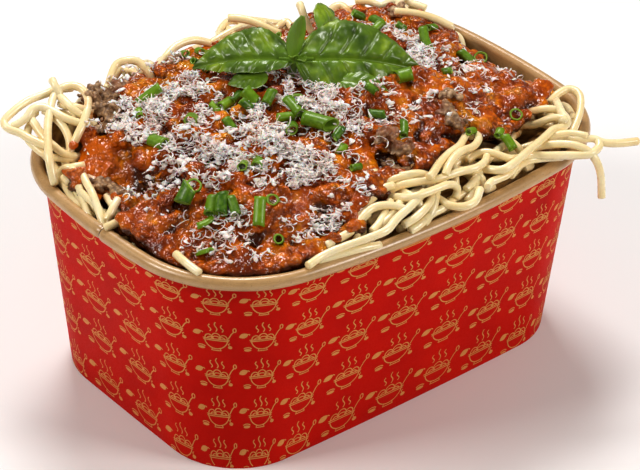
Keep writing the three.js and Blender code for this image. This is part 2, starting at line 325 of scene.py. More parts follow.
def core_material():
    m, nt, b = material("spaghetti_in_shade", srgb(138, 100, 48), 0.5, Specular_IOR_Level=0.2)
    v = coords(nt)
    n1 = noise(nt, coords(nt, (1, 3, 1)), 240, 3)
    nt.links.new(ramp(nt, n1, [(0.35, srgb(96, 62, 24)), (0.65, srgb(158, 118, 60))]), b.inputs["Base Color"])
    nt.links.new(span(nt, noise(nt, v, 500, 2), 0.3, 0.7, 0.4, 0.6), b.inputs["Roughness"])
    nt.links.new(bump(nt, n1, 0.6, 0.5), b.inputs["Normal"])
    return m


def sauce_material():
    m, nt, b = material("meat_sauce", srgb(168, 62, 20), 0.2, Specular_IOR_Level=0.06, Coat_IOR=1.8, Coat_Weight=0.5,
                        Coat_Roughness=0.035)
    v = coords(nt)
    n1 = noise(nt, v, 95, 4, 0.6, 0.3)
    col = ramp(nt, n1, [(0.28, srgb(116, 44, 0)), (0.42, srgb(164, 69, 0)), (0.54, srgb(204, 100, 0)), (0.68, srgb(242, 158, 14))])
    patch = span(nt, noise(nt, v, 105, 2), 0.40, 0.60, 0.3, 1.0)
    cell = grains(nt, warped(nt, v, 300, 0.003), 520, 0.2)  # grains of mince under the sauce
    tiny = grains(nt, v, 1150)
    # painted shade: the gaps between the mince grains are darkened, more so in the noisy patches
    col = mix(nt, times(nt, patch, span(nt, cell, 0.32, 0.62, 0.0, 0.7)), col, srgb(92, 28, 2))
    # painted light: the tops of the grains are lightened to bright orange
    col = mix(nt, span(nt, cell, 0.24, 0.02, 0.0, 0.5), col, srgb(240, 140, 36))
    col = mix(nt, span(nt, attribute(nt, "tomato"), 0.0, 1.0, 0.0, 0.6), col, srgb(206, 100, 4))
    high = attribute(nt, "high")  # 0 in the gaps, 1 on the tops of the lumps
    # painted shade: the low gaps between the lumps are darkened to deep brown
    col = mix(nt, span(nt, high, 0.08, 0.54, 0.92, 0.0), col, srgb(52, 14, 0))
    n3 = noise(nt, v, 180, 4, 0.65)
    col = mix(nt, span(nt, n3, 0.60, 0.72, 0.0, 0.45), col, srgb(132, 64, 22))
    nt.links.new(col, b.inputs["Base Color"])
    nt.links.new(span(nt, noise(nt, v, 420, 3), 0.35, 0.65, 0.07, 0.22), b.inputs["Roughness"])
    first = node(nt, "ShaderNodeBump", invert=True)
    nt.links.new(patch, first.inputs["Strength"])
    first.inputs["Distance"].default_value = 1.0 * MM
    nt.links.new(cell, first.inputs["Height"])
    second = node(nt, "ShaderNodeBump", invert=True)
    second.inputs["Strength"].default_value = 0.75
    second.inputs["Distance"].default_value = 0.3 * MM
    nt.links.new(tiny, second.inputs["Height"])
    nt.links.new(first.outputs["Normal"], second.inputs["Normal"])
    nt.links.new(second.outputs["Normal"], b.inputs["Coat Normal"])
    nt.links.new(bump(nt, noise(nt, v, 1500, 3, 0.6), 0.25, 0.08, second.outputs["Normal"]), b.inputs["Normal"])
    return m


def mince_material():
    m, nt, b = material("browned_mince", srgb(140, 98, 70), 0.45, Specular_IOR_Level=0.4, Coat_Weight=0.1, Coat_Roughness=0.2)
    v = coords(nt)
    n1 = noise(nt, v, 230, 5, 0.65)
    col = ramp(nt, n1, [(0.3, srgb(118, 84, 54)), (0.5, srgb(176, 138, 98)), (0.7, srgb(216, 184, 146))])
    cell = grains(nt, v, 760)
    # painted shade: the gaps between the granules are darkened
    col = mix(nt, span(nt, cell, 0.34, 0.64, 0.0, 0.6), col, srgb(70, 38, 20))
    nt.links.new(mix(nt, span(nt, noise(nt, v, 120, 3), 0.52, 0.68, 0.0, 0.6), col, srgb(142, 60, 20)), b.inputs["Base Color"])
    nt.links.new(span(nt, n1, 0.3, 0.7, 0.32, 0.6), b.inputs["Roughness"])
    first = node(nt, "ShaderNodeBump", invert=True)
    first.inputs["Strength"].default_value = 0.9
    first.inputs["Distance"].default_value = 0.6 * MM
    nt.links.new(cell, first.inputs["Height"])
    nt.links.new(bump(nt, noise(nt, v, 1300, 4, 0.65), 0.5, 0.2, first.outputs["Normal"]), b.inputs["Normal"])
    return m


def cheese_material():
    m, nt, b = material("grated_cheese", srgb(242, 232, 228), 0.36, Subsurface_Weight=0.3, Subsurface_Scale=0.0007,
                        Specular_IOR_Level=0.45, Transmission_Weight=0.03)
    v = coords(nt)
    tone = noise(nt, v, 160, 3)
    col = ramp(nt, tone, [(0.3, srgb(238, 220, 212)), (0.5, srgb(249, 239, 235)), (0.72, srgb(254, 250, 249))])
    clear = attribute(nt, "clear")  # thin, see-through parts take the colour of the sauce below
    nt.links.new(mix(nt, span(nt, clear, 0.25, 1.0, 0.0, 0.36), col, srgb(230, 182, 160)), b.inputs["Base Color"])
    nt.links.new(span(nt, noise(nt, v, 900, 2), 0.3, 0.7, 0.3, 0.55), b.inputs["Roughness"])
    nt.links.new(bump(nt, noise(nt, v, 1300, 3), 0.4, 0.1), b.inputs["Normal"])
    return m


def chive_material():
    m, nt, b = material("chive", srgb(70, 130, 20), 0.36, Specular_IOR_Level=0.36, Coat_Weight=0.1, Coat_Roughness=0.15)
    v = coords(nt)
    inner = attribute(nt, "inner")
    tone = attribute(nt, "tone")
    out = mix(nt, tone, srgb(34, 80, 0), srgb(118, 154, 4))
    out = mix(nt, span(nt, noise(nt, v, 700, 3), 0.4, 0.7, 0.0, 0.35), out, srgb(146, 186, 56))
    nt.links.new(mix(nt, inner, out, srgb(150, 184, 62)), b.inputs["Base Color"])
    nt.links.new(span(nt, noise(nt, v, 900, 2), 0.3, 0.7, 0.3, 0.48), b.inputs["Roughness"])
    nt.links.new(bump(nt, noise(nt, v, 1400, 2), 0.25, 0.06), b.inputs["Normal"])
    return m


def basil_material():
    m, nt, b = material("basil_leaf_green", srgb(56, 100, 20), 0.38, Specular_IOR_Level=0.5, Coat_Weight=0.2, Coat_Roughness=0.22)
    v = coords(nt)
    vein = attribute(nt, "vein")
    tone = attribute(nt, "tone")
    col = ramp(nt, noise(nt, v, 130, 3), [(0.3, srgb(44, 70, 0)), (0.5, srgb(82, 110, 2)), (0.7, srgb(134, 158, 10))])
    col = mix(nt, span(nt, tone, 0, 1, 0.0, 0.75), col, srgb(128, 168, 56))
    col = mix(nt, span(nt, vein, 0, 1, 0.0, 0.5), col, srgb(122, 152, 40))
    nt.links.new(col, b.inputs["Base Color"])
    nt.links.new(span(nt, noise(nt, v, 260, 3), 0.3, 0.7, 0.3, 0.46), b.inputs["Roughness"])
    nt.links.new(bump(nt, noise(nt, v, 620, 3), 0.3, 0.14), b.inputs["Normal"])
    return m


RED = red_print()
INK = kraft("print_ink_tan", srgb(212, 140, 66), srgb(220, 152, 76), 0.6, 0.0)
KRAFT = kraft("kraft_rim", srgb(184, 143, 90), srgb(204, 166, 116), 0.32, 0.5, -0.00452)
LINER = kraft("kraft_liner", srgb(188, 144, 92), srgb(204, 160, 106), 0.42, 0.25)
PASTA = pasta_material()
CORE = core_material()
SAUCE = sauce_material()
MINCE = mince_material()
CHEESE = cheese_material()
CHIVE = chive_material()
BASIL = basil_material()


# ---------------------------------------------------------------- the bowl
BLO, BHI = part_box("paper_bowl")
HALF_X = (BHI.x - BLO.x) / 2 / MM
HALF_Y = (BHI.y - BLO.y) / 2 / MM
HEIGHT = BHI.z / MM
BEAD = 2.1
PAPER = 0.6
RIM = dict(a=HALF_X, b=HALF_Y, r=40.0, ba=0.9, bb=3.2)
FOOT = dict(a=73.3, b=48.8, r=25.0, ba=0.1, bb=0.65)
ROW_Z = HEIGHT - BEAD


def outline(a, b, r, ba, bb, ns=72, nc=48):
    """Rounded rectangle with bowed sides: points and outward normals."""
    cx, cy = a - r - ba, b - r - bb
    sides = []
    for along_y, sg in ((1, 1), (0, 1), (1, -1), (0, -1)):
        s = np.linspace(-1, 1, ns) * sg
        if along_y:
            p = np.stack([sg * (a - r - ba * s * s), cy * s], 1)
            n = np.stack([np.full(ns, float(sg)), 2 * ba * s / cy], 1)
        else:
            p = np.stack([-cx * s, sg * (b - r - bb * s * s)], 1)
            n = np.stack([-2 * bb * s / cx, np.full(ns, float(sg))], 1)
        n /= np.linalg.norm(n, axis=1, keepdims=True)
        sides.append((p, n))
    ps, nn = [], []
    for k in range(4):
        p, n = sides[k]
        ps.append(p + r * n)
        nn.append(n)
        a0 = math.atan2(n[-1, 1], n[-1, 0])
        m = sides[(k + 1) % 4][1][0]
        turn = (math.atan2(m[1], m[0]) - a0) % TAU
        q = a0 + turn * np.arange(1, nc + 1) / (nc + 1)
        d = np.stack([np.cos(q), np.sin(q)], 1)
        ps.append(p[-1] + r * d)
        nn.append(d)
    return np.concatenate(ps), np.concatenate(nn)


RP, RN = outline(**RIM)
FP, _ = outline(**FOOT)
NW = len(RP)
TOP = RP - RN * (2 * BEAD - PAPER)
ARC = np.concatenate([[0], np.cumsum(np.linalg.norm(np.roll(TOP, -1, 0) - TOP, axis=1))])
AROUND = ARC[-1]


def wall(z, outward=0.0):
    """Ring of the wall's outer face at height z (mm), moved outward."""
    t = z / ROW_Z
    xy = FP * (1 - t) + TOP * t + RN * np.asarray(outward).reshape(-1, 1)
    return np.concatenate([xy, np.full((NW, 1), float(z))], 1)


def wall_at(s, z, lift=0.0):
    """Points on the wall at arc position s (mm along the top) and height z, lifted off it."""
    s = np.asarray(s) % AROUND
    z = np.asarray(z, float)
    pad = lambda a: np.concatenate([a, a[:1]])
    f = [np.interp(s, ARC, pad(c)) for c in (TOP[:, 0], TOP[:, 1], FP[:, 0], FP[:, 1], RN[:, 0], RN[:, 1])]
    n = np.stack([f[4], f[5]], -1)
    n /= np.linalg.norm(n, axis=-1, keepdims=True)
    t = z / ROW_Z
    x = f[2] * (1 - t) + f[0] * t + n[..., 0] * lift
    y = f[3] * (1 - t) + f[1] * t + n[..., 1] * lift
    return np.stack([x, y, z - 0.15 * lift], -1)


def loft(rings, close_profile=False):
    n = len(rings[0])
    k = len(rings)
    v = np.concatenate(rings)
    j = np.arange(n)
    jn = (j + 1) % n
    faces = []
    for i in range(k if close_profile else k - 1):
        a, b = i * n, ((i + 1) % k) * n
        faces.append(np.stack([a + j, a + jn, b + jn, b + j], 1))
    return v, np.concatenate(faces)


def make_bowl():
    # printed sleeve: outer face, folded in at its lower edge
    zs = np.linspace(0.45, ROW_Z - 1.0, 26)
    rings = [wall(5.0, -0.3), wall(0.5, -0.3), wall(0.08, -0.2), wall(0.0, -0.1), wall(0.12, -0.02)]
    rings += [wall(z) for z in zs]
    v, f = loft(rings)
    put(make_mesh("bowl_sleeve", v, f, RED), "bowl_paper", "paper_bowl")

    # rolled rim and inner wall in one sheet of brown board
    seam = SEAM_ARC
    d = (ARC[:-1] - seam + AROUND / 2) % AROUND - AROUND / 2
    step = 0.24 * np.where(d > 0, np.clip(1 - d / 16, 0, 1), 0)  # the overlapping end is a little fuller
    groove = np.exp(-((d / 0.55) ** 2)) * 0.5
    wob = 0.05 * noise3(np.stack([RP[:, 0], RP[:, 1], RP[:, 0] * 0], 1), 9, 3)
    rad = BEAD + step - groove + wob - 0.02
    rings = []
    for ang in np.radians(np.linspace(232, 540, 40)[::-1]):
        t = ang
        xy = TOP + RN * ((BEAD - PAPER) + (rad * np.cos(t))).reshape(-1, 1)
        z = ROW_Z + rad * np.sin(t)
        rings.append(np.concatenate([xy, z.reshape(-1, 1)], 1))
    rings = rings[::-1]
    for z in (68, 60, 50, 40, 30, 20, 12, 7.4):
        rings.append(wall(z, -PAPER))
    mid = wall(7.0, -PAPER - 0.8)
    rings.append(mid)
    for k in (0.8, 0.5, 0.2):
        r = mid.copy()
        r[:, :2] *= k
        r[:, 2] = 6.9
        rings.append(r)
    v, f = loft(rings)
    n = len(v)
    v = np.concatenate([v, [[0, 0, 6.9]]])
    last = n - NW
    j = np.arange(NW)
    f3 = np.stack([last + j, last + (j + 1) % NW, np.full(NW, n)], 1)
    put(make_mesh("bowl_rim_and_liner", v, [f, f3], KRAFT), "bowl_paper")

    # recessed base disc with its turned-down edge
    rings = [wall(7.0, -PAPER - 0.75)]
    for z in (4.0, 1.0, 0.15):
        rings.append(wall(z, -PAPER + 0.02))
    rings.append(wall(0.0, -PAPER - 0.2))
    rings.append(wall(0.02, -PAPER - 0.55))
    rings.append(wall(0.2, -PAPER - 0.7))
    rings += [wall(z, -PAPER - 0.7) for z in (2.0, 4.0, 5.3)]
    fil = wall(5.9, -PAPER - 1.1)
    rings.append(fil)
    for k in (0.985, 0.9, 0.7, 0.5, 0.3, 0.12):
        r = fil.copy()
        r[:, :2] *= k
        r[:, 2] = 6.0 + 0.25 * (1 - k)
        rings.append(r)
    v, f = loft(rings)
    n = len(v)
    v = np.concatenate([v, [[0, 0, 6.3]]])
    last = n - NW
    f3 = np.stack([last + (j + 1) % NW, last + j, np.full(NW, n)], 1)
    put(make_mesh("bowl_base", v, [f, f3], LINER), "bowl_paper")


# ---- the print: rows of a plain steaming-bowl motif in tan line work, with a filled leaf, spoon tip and dot
def arc_pts(cx, cy, rx, ry, a0, a1, n):
    t = np.radians(np.linspace(a0, a1, n))
    return np.stack([cx + rx * np.cos(t), cy + ry * np.sin(t)], 1)


def motif():
    """Lines and filled shapes in a unit cell: x from -0.5 to 0.5, y from 0 to 1."""
    L, F = [], []
    L.append(arc_pts(0.05, 0.44, 0.27, 0.30, 180, 360, 18))  # the bowl
    L.append(np.array([[-0.26, 0.44], [0.36, 0.44]]))
    L.append(np.array([[-0.25, 0.395], [0.35, 0.395]]))
    L.append(np.array([[-0.04, 0.15], [-0.06, 0.09], [0.16, 0.09], [0.14, 0.15]]))
    L.append(np.concatenate([arc_pts(-0.12, 0.45, 0.09, 0.12, 180, 20, 8), arc_pts(0.05, 0.49, 0.10, 0.13, 165, 15, 9),
                             arc_pts(0.22, 0.45, 0.09, 0.12, 160, 0, 8)]))  # heap
    L.append(arc_pts(0.05, 0.46, 0.10, 0.07, 200, -20, 8))
    L.append(arc_pts(-0.08, 0.45, 0.07, 0.05, 180, 0, 6))
    L.append(arc_pts(0.18, 0.45, 0.07, 0.05, 180, 0, 6))
    for x0, top in ((-0.09, 0.88), (0.05, 0.96), (0.19, 0.88)):  # steam
        y = np.linspace(0.67, top, 9)
        L.append(np.stack([x0 + 0.03 * np.sin((y - 0.67) / (top - 0.67) * TAU), y], 1))
    L.append(np.array([[0.33, 0.47], [0.40, 0.62], [0.46, 0.70]]))  # handle of a spoon
    L.append(arc_pts(0.475, 0.745, 0.035, 0.06, 0, 360, 12))
    t = np.linspace(0, 1, 9)  # filled leaf at the left
    w = 0.075 * np.sin(math.pi * t) ** 0.8
    ax = np.stack([-0.50 + 0.21 * t, 0.53 + 0.10 * t], 1)
    nrm = np.array([-0.43, 0.90])
    F.append(np.concatenate([ax + nrm * w[:, None], (ax - nrm * w[:, None])[::-1][1:-1]]))
    L.append(np.array([[-0.29, 0.63], [-0.25, 0.60]]))
    F.append(arc_pts(-0.30, 0.13, 0.085, 0.042, 0, 342, 14) + np.array([0, 0.0]))
    L.append(arc_pts(-0.30, 0.15, 0.095, 0.06, 20, 160, 8))
    F.append(arc_pts(0.37, 0.21, 0.05, 0.048, 0, 342, 14))
    L.append(np.array([[0.35, 0.26], [0.33, 0.31], [0.37, 0.33]]))
    return L, F


def dense(p, step):
    out = [p[:1]]
    for a, b in zip(p[:-1], p[1:]):
        n = max(1, int(np.ceil(np.linalg.norm(b - a) / step)))
        out.append(a + (b - a) * (np.arange(1, n + 1) / n)[:, None])
    return np.concatenate(out)


def make_print():
    L, F = motif()
    # columns: closer together round the corners, wider on the flat sides
    corner = CORNER_ARC
    cols = []
    for side, (c0, c1, n) in enumerate(CORNER_SPANS):
        t = (np.arange(n) + 0.5) / n
        length = (c1 - c0) % AROUND
        warp = t + 0.016 * np.sin(4 * math.pi * t - 0.0) * 0 - 0.028 * np.sin(TAU * t)
        e = np.arange(n + 1) / n
        edge = e - 0.028 * np.sin(TAU * e)
        for k in range(n):
            cols.append((c0 + length * (edge[k] + edge[k + 1]) / 2, length * (edge[k + 1] - edge[k])))
    rows = [(74.5, 61.6), (61.6, 47.9), (47.9, 33.2), (33.2, 17.2), (17.2, -0.6), (-0.6, -19.0)]
    rows = [(87.0, 74.5)] + rows
    out = Batch()
    half = 0.19
    for s0, pitch in cols:
        near = min(abs((s0 - c + AROUND / 2) % AROUND - AROUND / 2) for c in corner)
        rise = 4.2 * smooth(8, 55, near) - 2.6
        for z1, z0 in rows:
            z1r, z0r = z1 + rise, z0 + rise
            hgt = (z1r - z0r)
            sx = pitch * 0.93
            def to_sz(p):
                return np.stack([s0 + p[:, 0] * sx, z0r + hgt * (0.04 + 0.90 * p[:, 1])], 1)
            for line in L:
                q = dense(to_sz(line), 0.9)
                ok = (q[:, 1] < ROW_Z - 1.6) & (q[:, 1] > 0.5)
                if ok.sum() < 2:
                    continue
                idx = np.where(ok)[0]
                for run in np.split(idx, np.where(np.diff(idx) > 1)[0] + 1):
                    if len(run) < 2:
                        continue
                    c = q[run]
                    d = np.gradient(c, axis=0)
                    d /= np.linalg.norm(d, axis=1, keepdims=True) + 1e-9
                    nn = np.stack([-d[:, 1], d[:, 0]], 1) * half
                    a = wall_at((c + nn)[:, 0], (c + nn)[:, 1], 0.05)
                    b = wall_at((c - nn)[:, 0], (c - nn)[:, 1], 0.05)
                    k = len(c)
                    j = np.arange(k - 1)
                    out.add(np.concatenate([a, b]), f4=np.stack([j, j + k, j + k + 1, j + 1], 1))
            for shape in F:
                q = to_sz(shape)
                if q[:, 1].max() > ROW_Z - 1.6 or q[:, 1].min() < 0.5:
                    q[:, 1] = np.clip(q[:, 1], 0.5, ROW_Z - 1.6)
                    if np.ptp(q[:, 1]) < 0.3:
                        continue
                c = q.mean(0)
                p = wall_at(np.append(q[:, 0], c[0]), np.append(q[:, 1], c[1]), 0.055)
                k = len(q)
                j = np.arange(k)
                out.add(p, f3=np.stack([j, (j + 1) % k, np.full(k, k)], 1))
    put(out.build("bowl_print", INK, flat=True), "bowl_paper")


# arc positions of the four corner middles, of the seam in the rim, and the columns between corners
def arc_of(x, y):
    k = np.argmin((TOP[:, 0] - x) ** 2 + (TOP[:, 1] - y) ** 2)
    return ARC[k]


CORNER_ARC = [arc_of(*(np.array(c) * np.array([HALF_X, HALF_Y]) * 0.86)) for c in ((1, 1), (-1, 1), (-1, -1), (1, -1))]
CORNER_SPANS = [(CORNER_ARC[0], CORNER_ARC[1], 8), (CORNER_ARC[1], CORNER_ARC[2], 6),
                (CORNER_ARC[2], CORNER_ARC[3], 8), (CORNER_ARC[3], CORNER_ARC[0], 6)]
SEAM_ARC = arc_of(-HALF_X + 3, -4.3)
make_bowl()
make_print()


# ---------------------------------------------------------------- heights of the food, from the CAD nodes
def tree_of(name):
    o = frame["nodes"][name]
    me = o.data
    v = [o.matrix_world @ x.co for x in me.vertices]
    return BVHTree.FromPolygons(v, [tuple(p.vertices) for p in me.polygons])


GX = np.arange(-92, 92.5, 1.0)
GY = np.arange(-80, 80.5, 1.0)


def height_grid(tree):
    h = np.full((len(GX), len(GY)), np.nan)
    down = Vector((0, 0, -1))
    for i, x in enumerate(GX):
        for j, y in enumerate(GY):
            hit = tree.ray_cast(Vector((x * MM, y * MM, 0.2)), down)
            if hit[0] is not None:
                h[i, j] = hit[0].z / MM
    return h


PASTA_H = height_grid(tree_of("spaghetti"))
SAUCE_H = height_grid(tree_of("meat_sauce"))


def sample(grid, x, y):
    i = np.clip((np.asarray(x) - GX[0]), 0, len(GX) - 1.001)
    j = np.clip((np.asarray(y) - GY[0]), 0, len(GY) - 1.001)
    i0, j0 = i.astype(int), j.astype(int)
    fx, fy = i - i0, j - j0
    return (grid[i0, j0] * (1 - fx) * (1 - fy) + grid[i0 + 1, j0] * fx * (1 - fy)
            + grid[i0, j0 + 1] * (1 - fx) * fy + grid[i0 + 1, j0 + 1] * fx * fy)


# the inner wall in polar form, and how far out the sauce reaches
IN_TOP = TOP - RN * (PAPER + 0.3)
ANG = np.arctan2(IN_TOP[:, 1], IN_TOP[:, 0])
ORDER = np.argsort(ANG)
ANG_S = ANG[ORDER]
RAD_S = np.hypot(IN_TOP[:, 0], IN_TOP[:, 1])[ORDER]


def wall_radius(a):
    return np.interp(a, ANG_S, RAD_S, period=TAU)


TH = np.linspace(-math.pi, math.pi, 361)[:-1]
SAUCE_R = []
for a in TH:
    r = np.arange(20, 95, 0.5)
    s = sample(np.nan_to_num(SAUCE_H, nan=-999.0), r * math.cos(a), r * math.sin(a))
    ok = np.where(s > 0)[0]
    SAUCE_R.append(r[ok[-1]])
SAUCE_R = np.array(SAUCE_R)
SAUCE_R = (np.roll(SAUCE_R, 1) + 2 * SAUCE_R + np.roll(SAUCE_R, -1)) / 4


def sauce_radius(a):
    return np.interp(a, TH, SAUCE_R, period=TAU)


def front_corner(a):
    """1 where the sauce fills the bowl's front corner to the rim."""
    d = np.degrees(a)
    return smooth(-180, -174.5, d) * smooth(-115, -123, d)


# ---------------------------------------------------------------- spaghetti
R = 1.27  # radius of a strand
CELL = 0.5
HX0, HY0 = -95.0, -85.0
HN = (381, 341)
PILE = np.full(HN, -50.0)  # running top of everything laid so far, in a fine grid


def cell(x, y):
    i = np.clip(np.rint((np.asarray(x) - HX0) / CELL).astype(int), 0, HN[0] - 1)
    j = np.clip(np.rint((np.asarray(y) - HY0) / CELL).astype(int), 0, HN[1] - 1)
    return i, j


FX, FY = np.meshgrid(HX0 + CELL * np.arange(HN[0]), HY0 + CELL * np.arange(HN[1]), indexing="ij")
PA = np.arctan2(FY, FX)
PR = np.hypot(FX, FY)
INSIDE = PR < wall_radius(PA)
BASE_H = sample(np.nan_to_num(PASTA_H, nan=0.0), FX, FY)
SINK = 7.0
PILE[INSIDE] = (BASE_H - SINK)[INSIDE]
# a lobe of the CAD heap that hangs outside the rim isn't a support
bead_d = np.abs(PR - wall_radius(PA) - 1.7)
PILE = np.where((bead_d < 2.4), np.maximum(PILE, ROW_Z + np.sqrt(np.maximum(0, BEAD ** 2 - np.minimum(bead_d, 2.1) ** 2))), PILE)
OFF = np.array([-1, -0.72, -0.4, 0, 0.4, 0.72, 1]) * R
OFFH = np.sqrt(np.maximum(0, R * R - OFF * OFF))
STAMP = [(a, b, math.sqrt(max(0, R * R - (a * a + b * b) * CELL * CELL))) for a in range(-3, 4) for b in range(-3, 4)
         if (a * a + b * b) * CELL * CELL <= R * R]


def spline(points, step=1.1):
    """A smooth curve through the points."""
    p = np.asarray(points, float)
    if len(p) == 2:
        p = np.stack([p[0], (p[0] + p[1]) / 2, p[1]])
    ext = np.concatenate([[2 * p[0] - p[1]], p, [2 * p[-1] - p[-2]]])
    out = []
    for k in range(len(p) - 1):
        a, b, c, d = ext[k:k + 4]
        n = max(2, int(np.ceil(np.linalg.norm(c - b) / step)))
        t = (np.arange(n) / n)[:, None]
        out.append(0.5 * ((2 * b) + (c - a) * t + (2 * a - 5 * b + 4 * c - d) * t ** 2 + (3 * b - a - 3 * c + d) * t ** 3))
    out.append(p[-1:])
    return np.concatenate(out)


def lowpass(a, sigma):
    n = int(3 * sigma)
    if n < 1 or len(a) < 4:
        return a
    k = np.exp(-0.5 * (np.arange(-n, n + 1) / sigma) ** 2)
    k /= k.sum()
    pad = np.concatenate([np.full(n, a[0]), a, np.full(n, a[-1])])
    return np.convolve(pad, k, "valid")


def support(path):
    d = np.gradient(path[:, :2], axis=0)
    d /= np.linalg.norm(d, axis=1, keepdims=True) + 1e-9
    n = np.stack([-d[:, 1], d[:, 0]], 1)
    best = np.full(len(path), -50.0)
    for o, h in zip(OFF, OFFH):
        i, j = cell(path[:, 0] + n[:, 0] * o, path[:, 1] + n[:, 1] * o)
        best = np.maximum(best, PILE[i, j] + h)
    return best


def running_max(a, w):
    n = len(a)
    out = a.copy()
    for k in range(1, w + 1):
        out[k:] = np.maximum(out[k:], a[:n - k])
        out[:n - k] = np.maximum(out[:n - k], a[k:])
    return out


def stamp(path):
    i, j = cell(path[:, 0], path[:, 1])
    for a, b, h in STAMP:
        ii, jj = np.clip(i + a, 0, HN[0] - 1), np.clip(j + b, 0, HN[1] - 1)
        np.maximum.at(PILE, (ii, jj), path[:, 2] + h)


def clamp_inside(xy, margin):
    a = np.arctan2(xy[:, 1], xy[:, 0])
    r = np.hypot(xy[:, 0], xy[:, 1])
    lim = wall_radius(a) - margin
    k = np.minimum(1, lim / np.maximum(r, 1e-6))
    return xy * k[:, None]


STRANDS_OUT = Batch()
STRAND_COUNT = 0


def tube(path, r=R, sides=9, stain=0.0):
    """A cooked strand along the path, with softly cut ends."""
    global STRAND_COUNT
    p = np.asarray(path, float)
    keep = np.concatenate([[True], np.linalg.norm(np.diff(p, axis=0), axis=1) > 1e-3])
    p = p[keep]
    if len(p) < 3:
        return
    t = np.gradient(p, axis=0)
    t /= np.linalg.norm(t, axis=1, keepdims=True)
    n = np.cross(t[0], [0, 0, 1.0])
    if np.linalg.norm(n) < 1e-3:
        n = np.array([1.0, 0, 0])
    n /= np.linalg.norm(n)
    ns = [n]
    for k in range(1, len(p)):
        n = ns[-1] - t[k] * np.dot(ns[-1], t[k])
        ns.append(n / np.linalg.norm(n))
    ns = np.array(ns)
    bs = np.cross(t, ns)
    s = np.concatenate([[0], np.cumsum(np.linalg.norm(np.diff(p, axis=0), axis=1))])
    rad = r * (1 + 0.04 * np.sin(s / 7.3 + 1.7 * STRAND_COUNT) + 0.025 * np.sin(s / 2.9 + STRAND_COUNT))
    # extra rings round the cut ends
    pe = np.concatenate([[p[0] - t[0] * 0.28], [p[0] - t[0] * 0.16], p, [p[-1] + t[-1] * 0.16], [p[-1] + t[-1] * 0.28]])
    re = np.concatenate([[rad[0] * 0.62], [rad[0] * 0.9], rad, [rad[-1] * 0.9], [rad[-1] * 0.62]])
    ne = np.concatenate([ns[:1], ns[:1], ns, ns[-1:], ns[-1:]])
    be = np.concatenate([bs[:1], bs[:1], bs, bs[-1:], bs[-1:]])
    q = np.arange(sides) * TAU / sides
    v = pe[:, None] + re[:, None, None] * (np.cos(q)[None, :, None] * ne[:, None] + np.sin(q)[None, :, None] * be[:, None])
    k = len(pe)
    v = v.reshape(-1, 3)
    j = np.arange(sides)
    jn = (j + 1) % sides
    f4 = np.concatenate([np.stack([i * sides + j, i * sides + jn, (i + 1) * sides + jn, (i + 1) * sides + j], 1) for i in range(k - 1)])
    v = np.concatenate([v, [pe[0]], [pe[-1]]])
    f3 = np.concatenate([np.stack([jn, j, np.full(sides, k * sides)], 1),
                         np.stack([(k - 1) * sides + j, (k - 1) * sides + jn, np.full(sides, k * sides + 1)], 1)])
    f4 = f4[:, ::-1]
    f3 = f3[:, ::-1]
    st = np.repeat(np.concatenate([[0, 0], np.broadcast_to(stain, len(p)), [0, 0]]), sides) if np.ndim(stain) else np.full(k * sides, stain)
    STRANDS_OUT.add(v, f3, f4, stain=np.concatenate([st, [st[0], st[-1]]]))
    STRAND_COUNT += 1


def stain_of(path):
    a = np.arctan2(path[:, 1], path[:, 0])
    d = np.hypot(path[:, 0], path[:, 1]) - sauce_radius(a)
    over = path[:, 2] - sample(np.nan_to_num(PASTA_H, nan=60.0), path[:, 0], path[:, 1])
    return smooth(2.5, -2.5, d) * smooth(3.0, 0.5, over) * 0.8


def lay(xy, margin=R + 0.15, soft=2.2, limit=None):
    """Lays a strand on the pile along a plan curve."""
    xy = clamp_inside(xy, margin)
    xy = np.stack([lowpass(xy[:, 0], 1.6), lowpass(xy[:, 1], 1.6)], 1)
    p = np.concatenate([xy, np.zeros((len(xy), 1))], 1)
    z = lowpass(running_max(support(p), 3), soft)
    p[:, 2] = z
    if limit is not None:
        top = limit(p)
        if np.mean(z > top) > 0.3:
            return False
        if (z > top + 1.8).any():
            return False
    stamp(p)
    tube(p, sides=8, stain=stain_of(p))
    return True


def target(p):
    """The top of the CAD heap, or of the sauce's underside, that the strands fill up to."""
    a = np.arctan2(p[:, 1], p[:, 0])
    under = smooth(1.0, -4.0, np.hypot(p[:, 0], p[:, 1]) - sauce_radius(a))
    return sample(np.nan_to_num(PASTA_H, nan=60.0), p[:, 0], p[:, 1]) + 0.6 - 1.4 * under - 3.5 * front_corner(a)


def scatter_strands(count, seed):
    g = np.random.default_rng(seed)
    made = 0
    for _ in range(count * 6):
        if made >= count:
            break
        a = g.uniform(-math.pi, math.pi)
        rw, rs = float(wall_radius(a)), float(sauce_radius(a))
        r = g.uniform(max(rs - 9, rw * 0.62), rw - R)
        start = np.array([r * math.cos(a), r * math.sin(a)])
        head = a + math.pi / 2 * g.choice([-1, 1]) + g.normal(0, 0.5)
        length = g.uniform(28, 85)
        n = int(length / 1.2)
        curve = lowpass(g.normal(0, 1, n), 9) * 0.20 + g.normal(0, 0.012)
        h = head + np.cumsum(curve)
        step = np.stack([np.cos(h), np.sin(h)], 1) * 1.2
        xy = start + np.cumsum(step, 0) - step.sum(0) * 0.5
        pr = np.hypot(xy[:, 0], xy[:, 1])
        if np.mean(pr < sauce_radius(np.arctan2(xy[:, 1], xy[:, 0])) - 12) > 0.4:
            continue
        if lay(xy, limit=target):
            made += 1
    return made


def ring_strands(count, seed):
    """Strands that run round the bowl beside the wall."""
    g = np.random.default_rng(seed)
    made = 0
    for _ in range(count * 6):
        if made >= count:
            break
        n = int(g.uniform(45, 120) / 1.2)
        a = g.uniform(-math.pi, math.pi) + g.choice([-1, 1]) * np.arange(n) * 1.2 / 75
        rho = g.uniform(0.82, 0.985) + 0.34 * lowpass(g.normal(0, 1, n), 8)
        rr = wall_radius(a) * np.minimum(rho, 0.99)
        if lay(np.stack([rr * np.cos(a), rr * np.sin(a)], 1), limit=target):
            made += 1
    return made


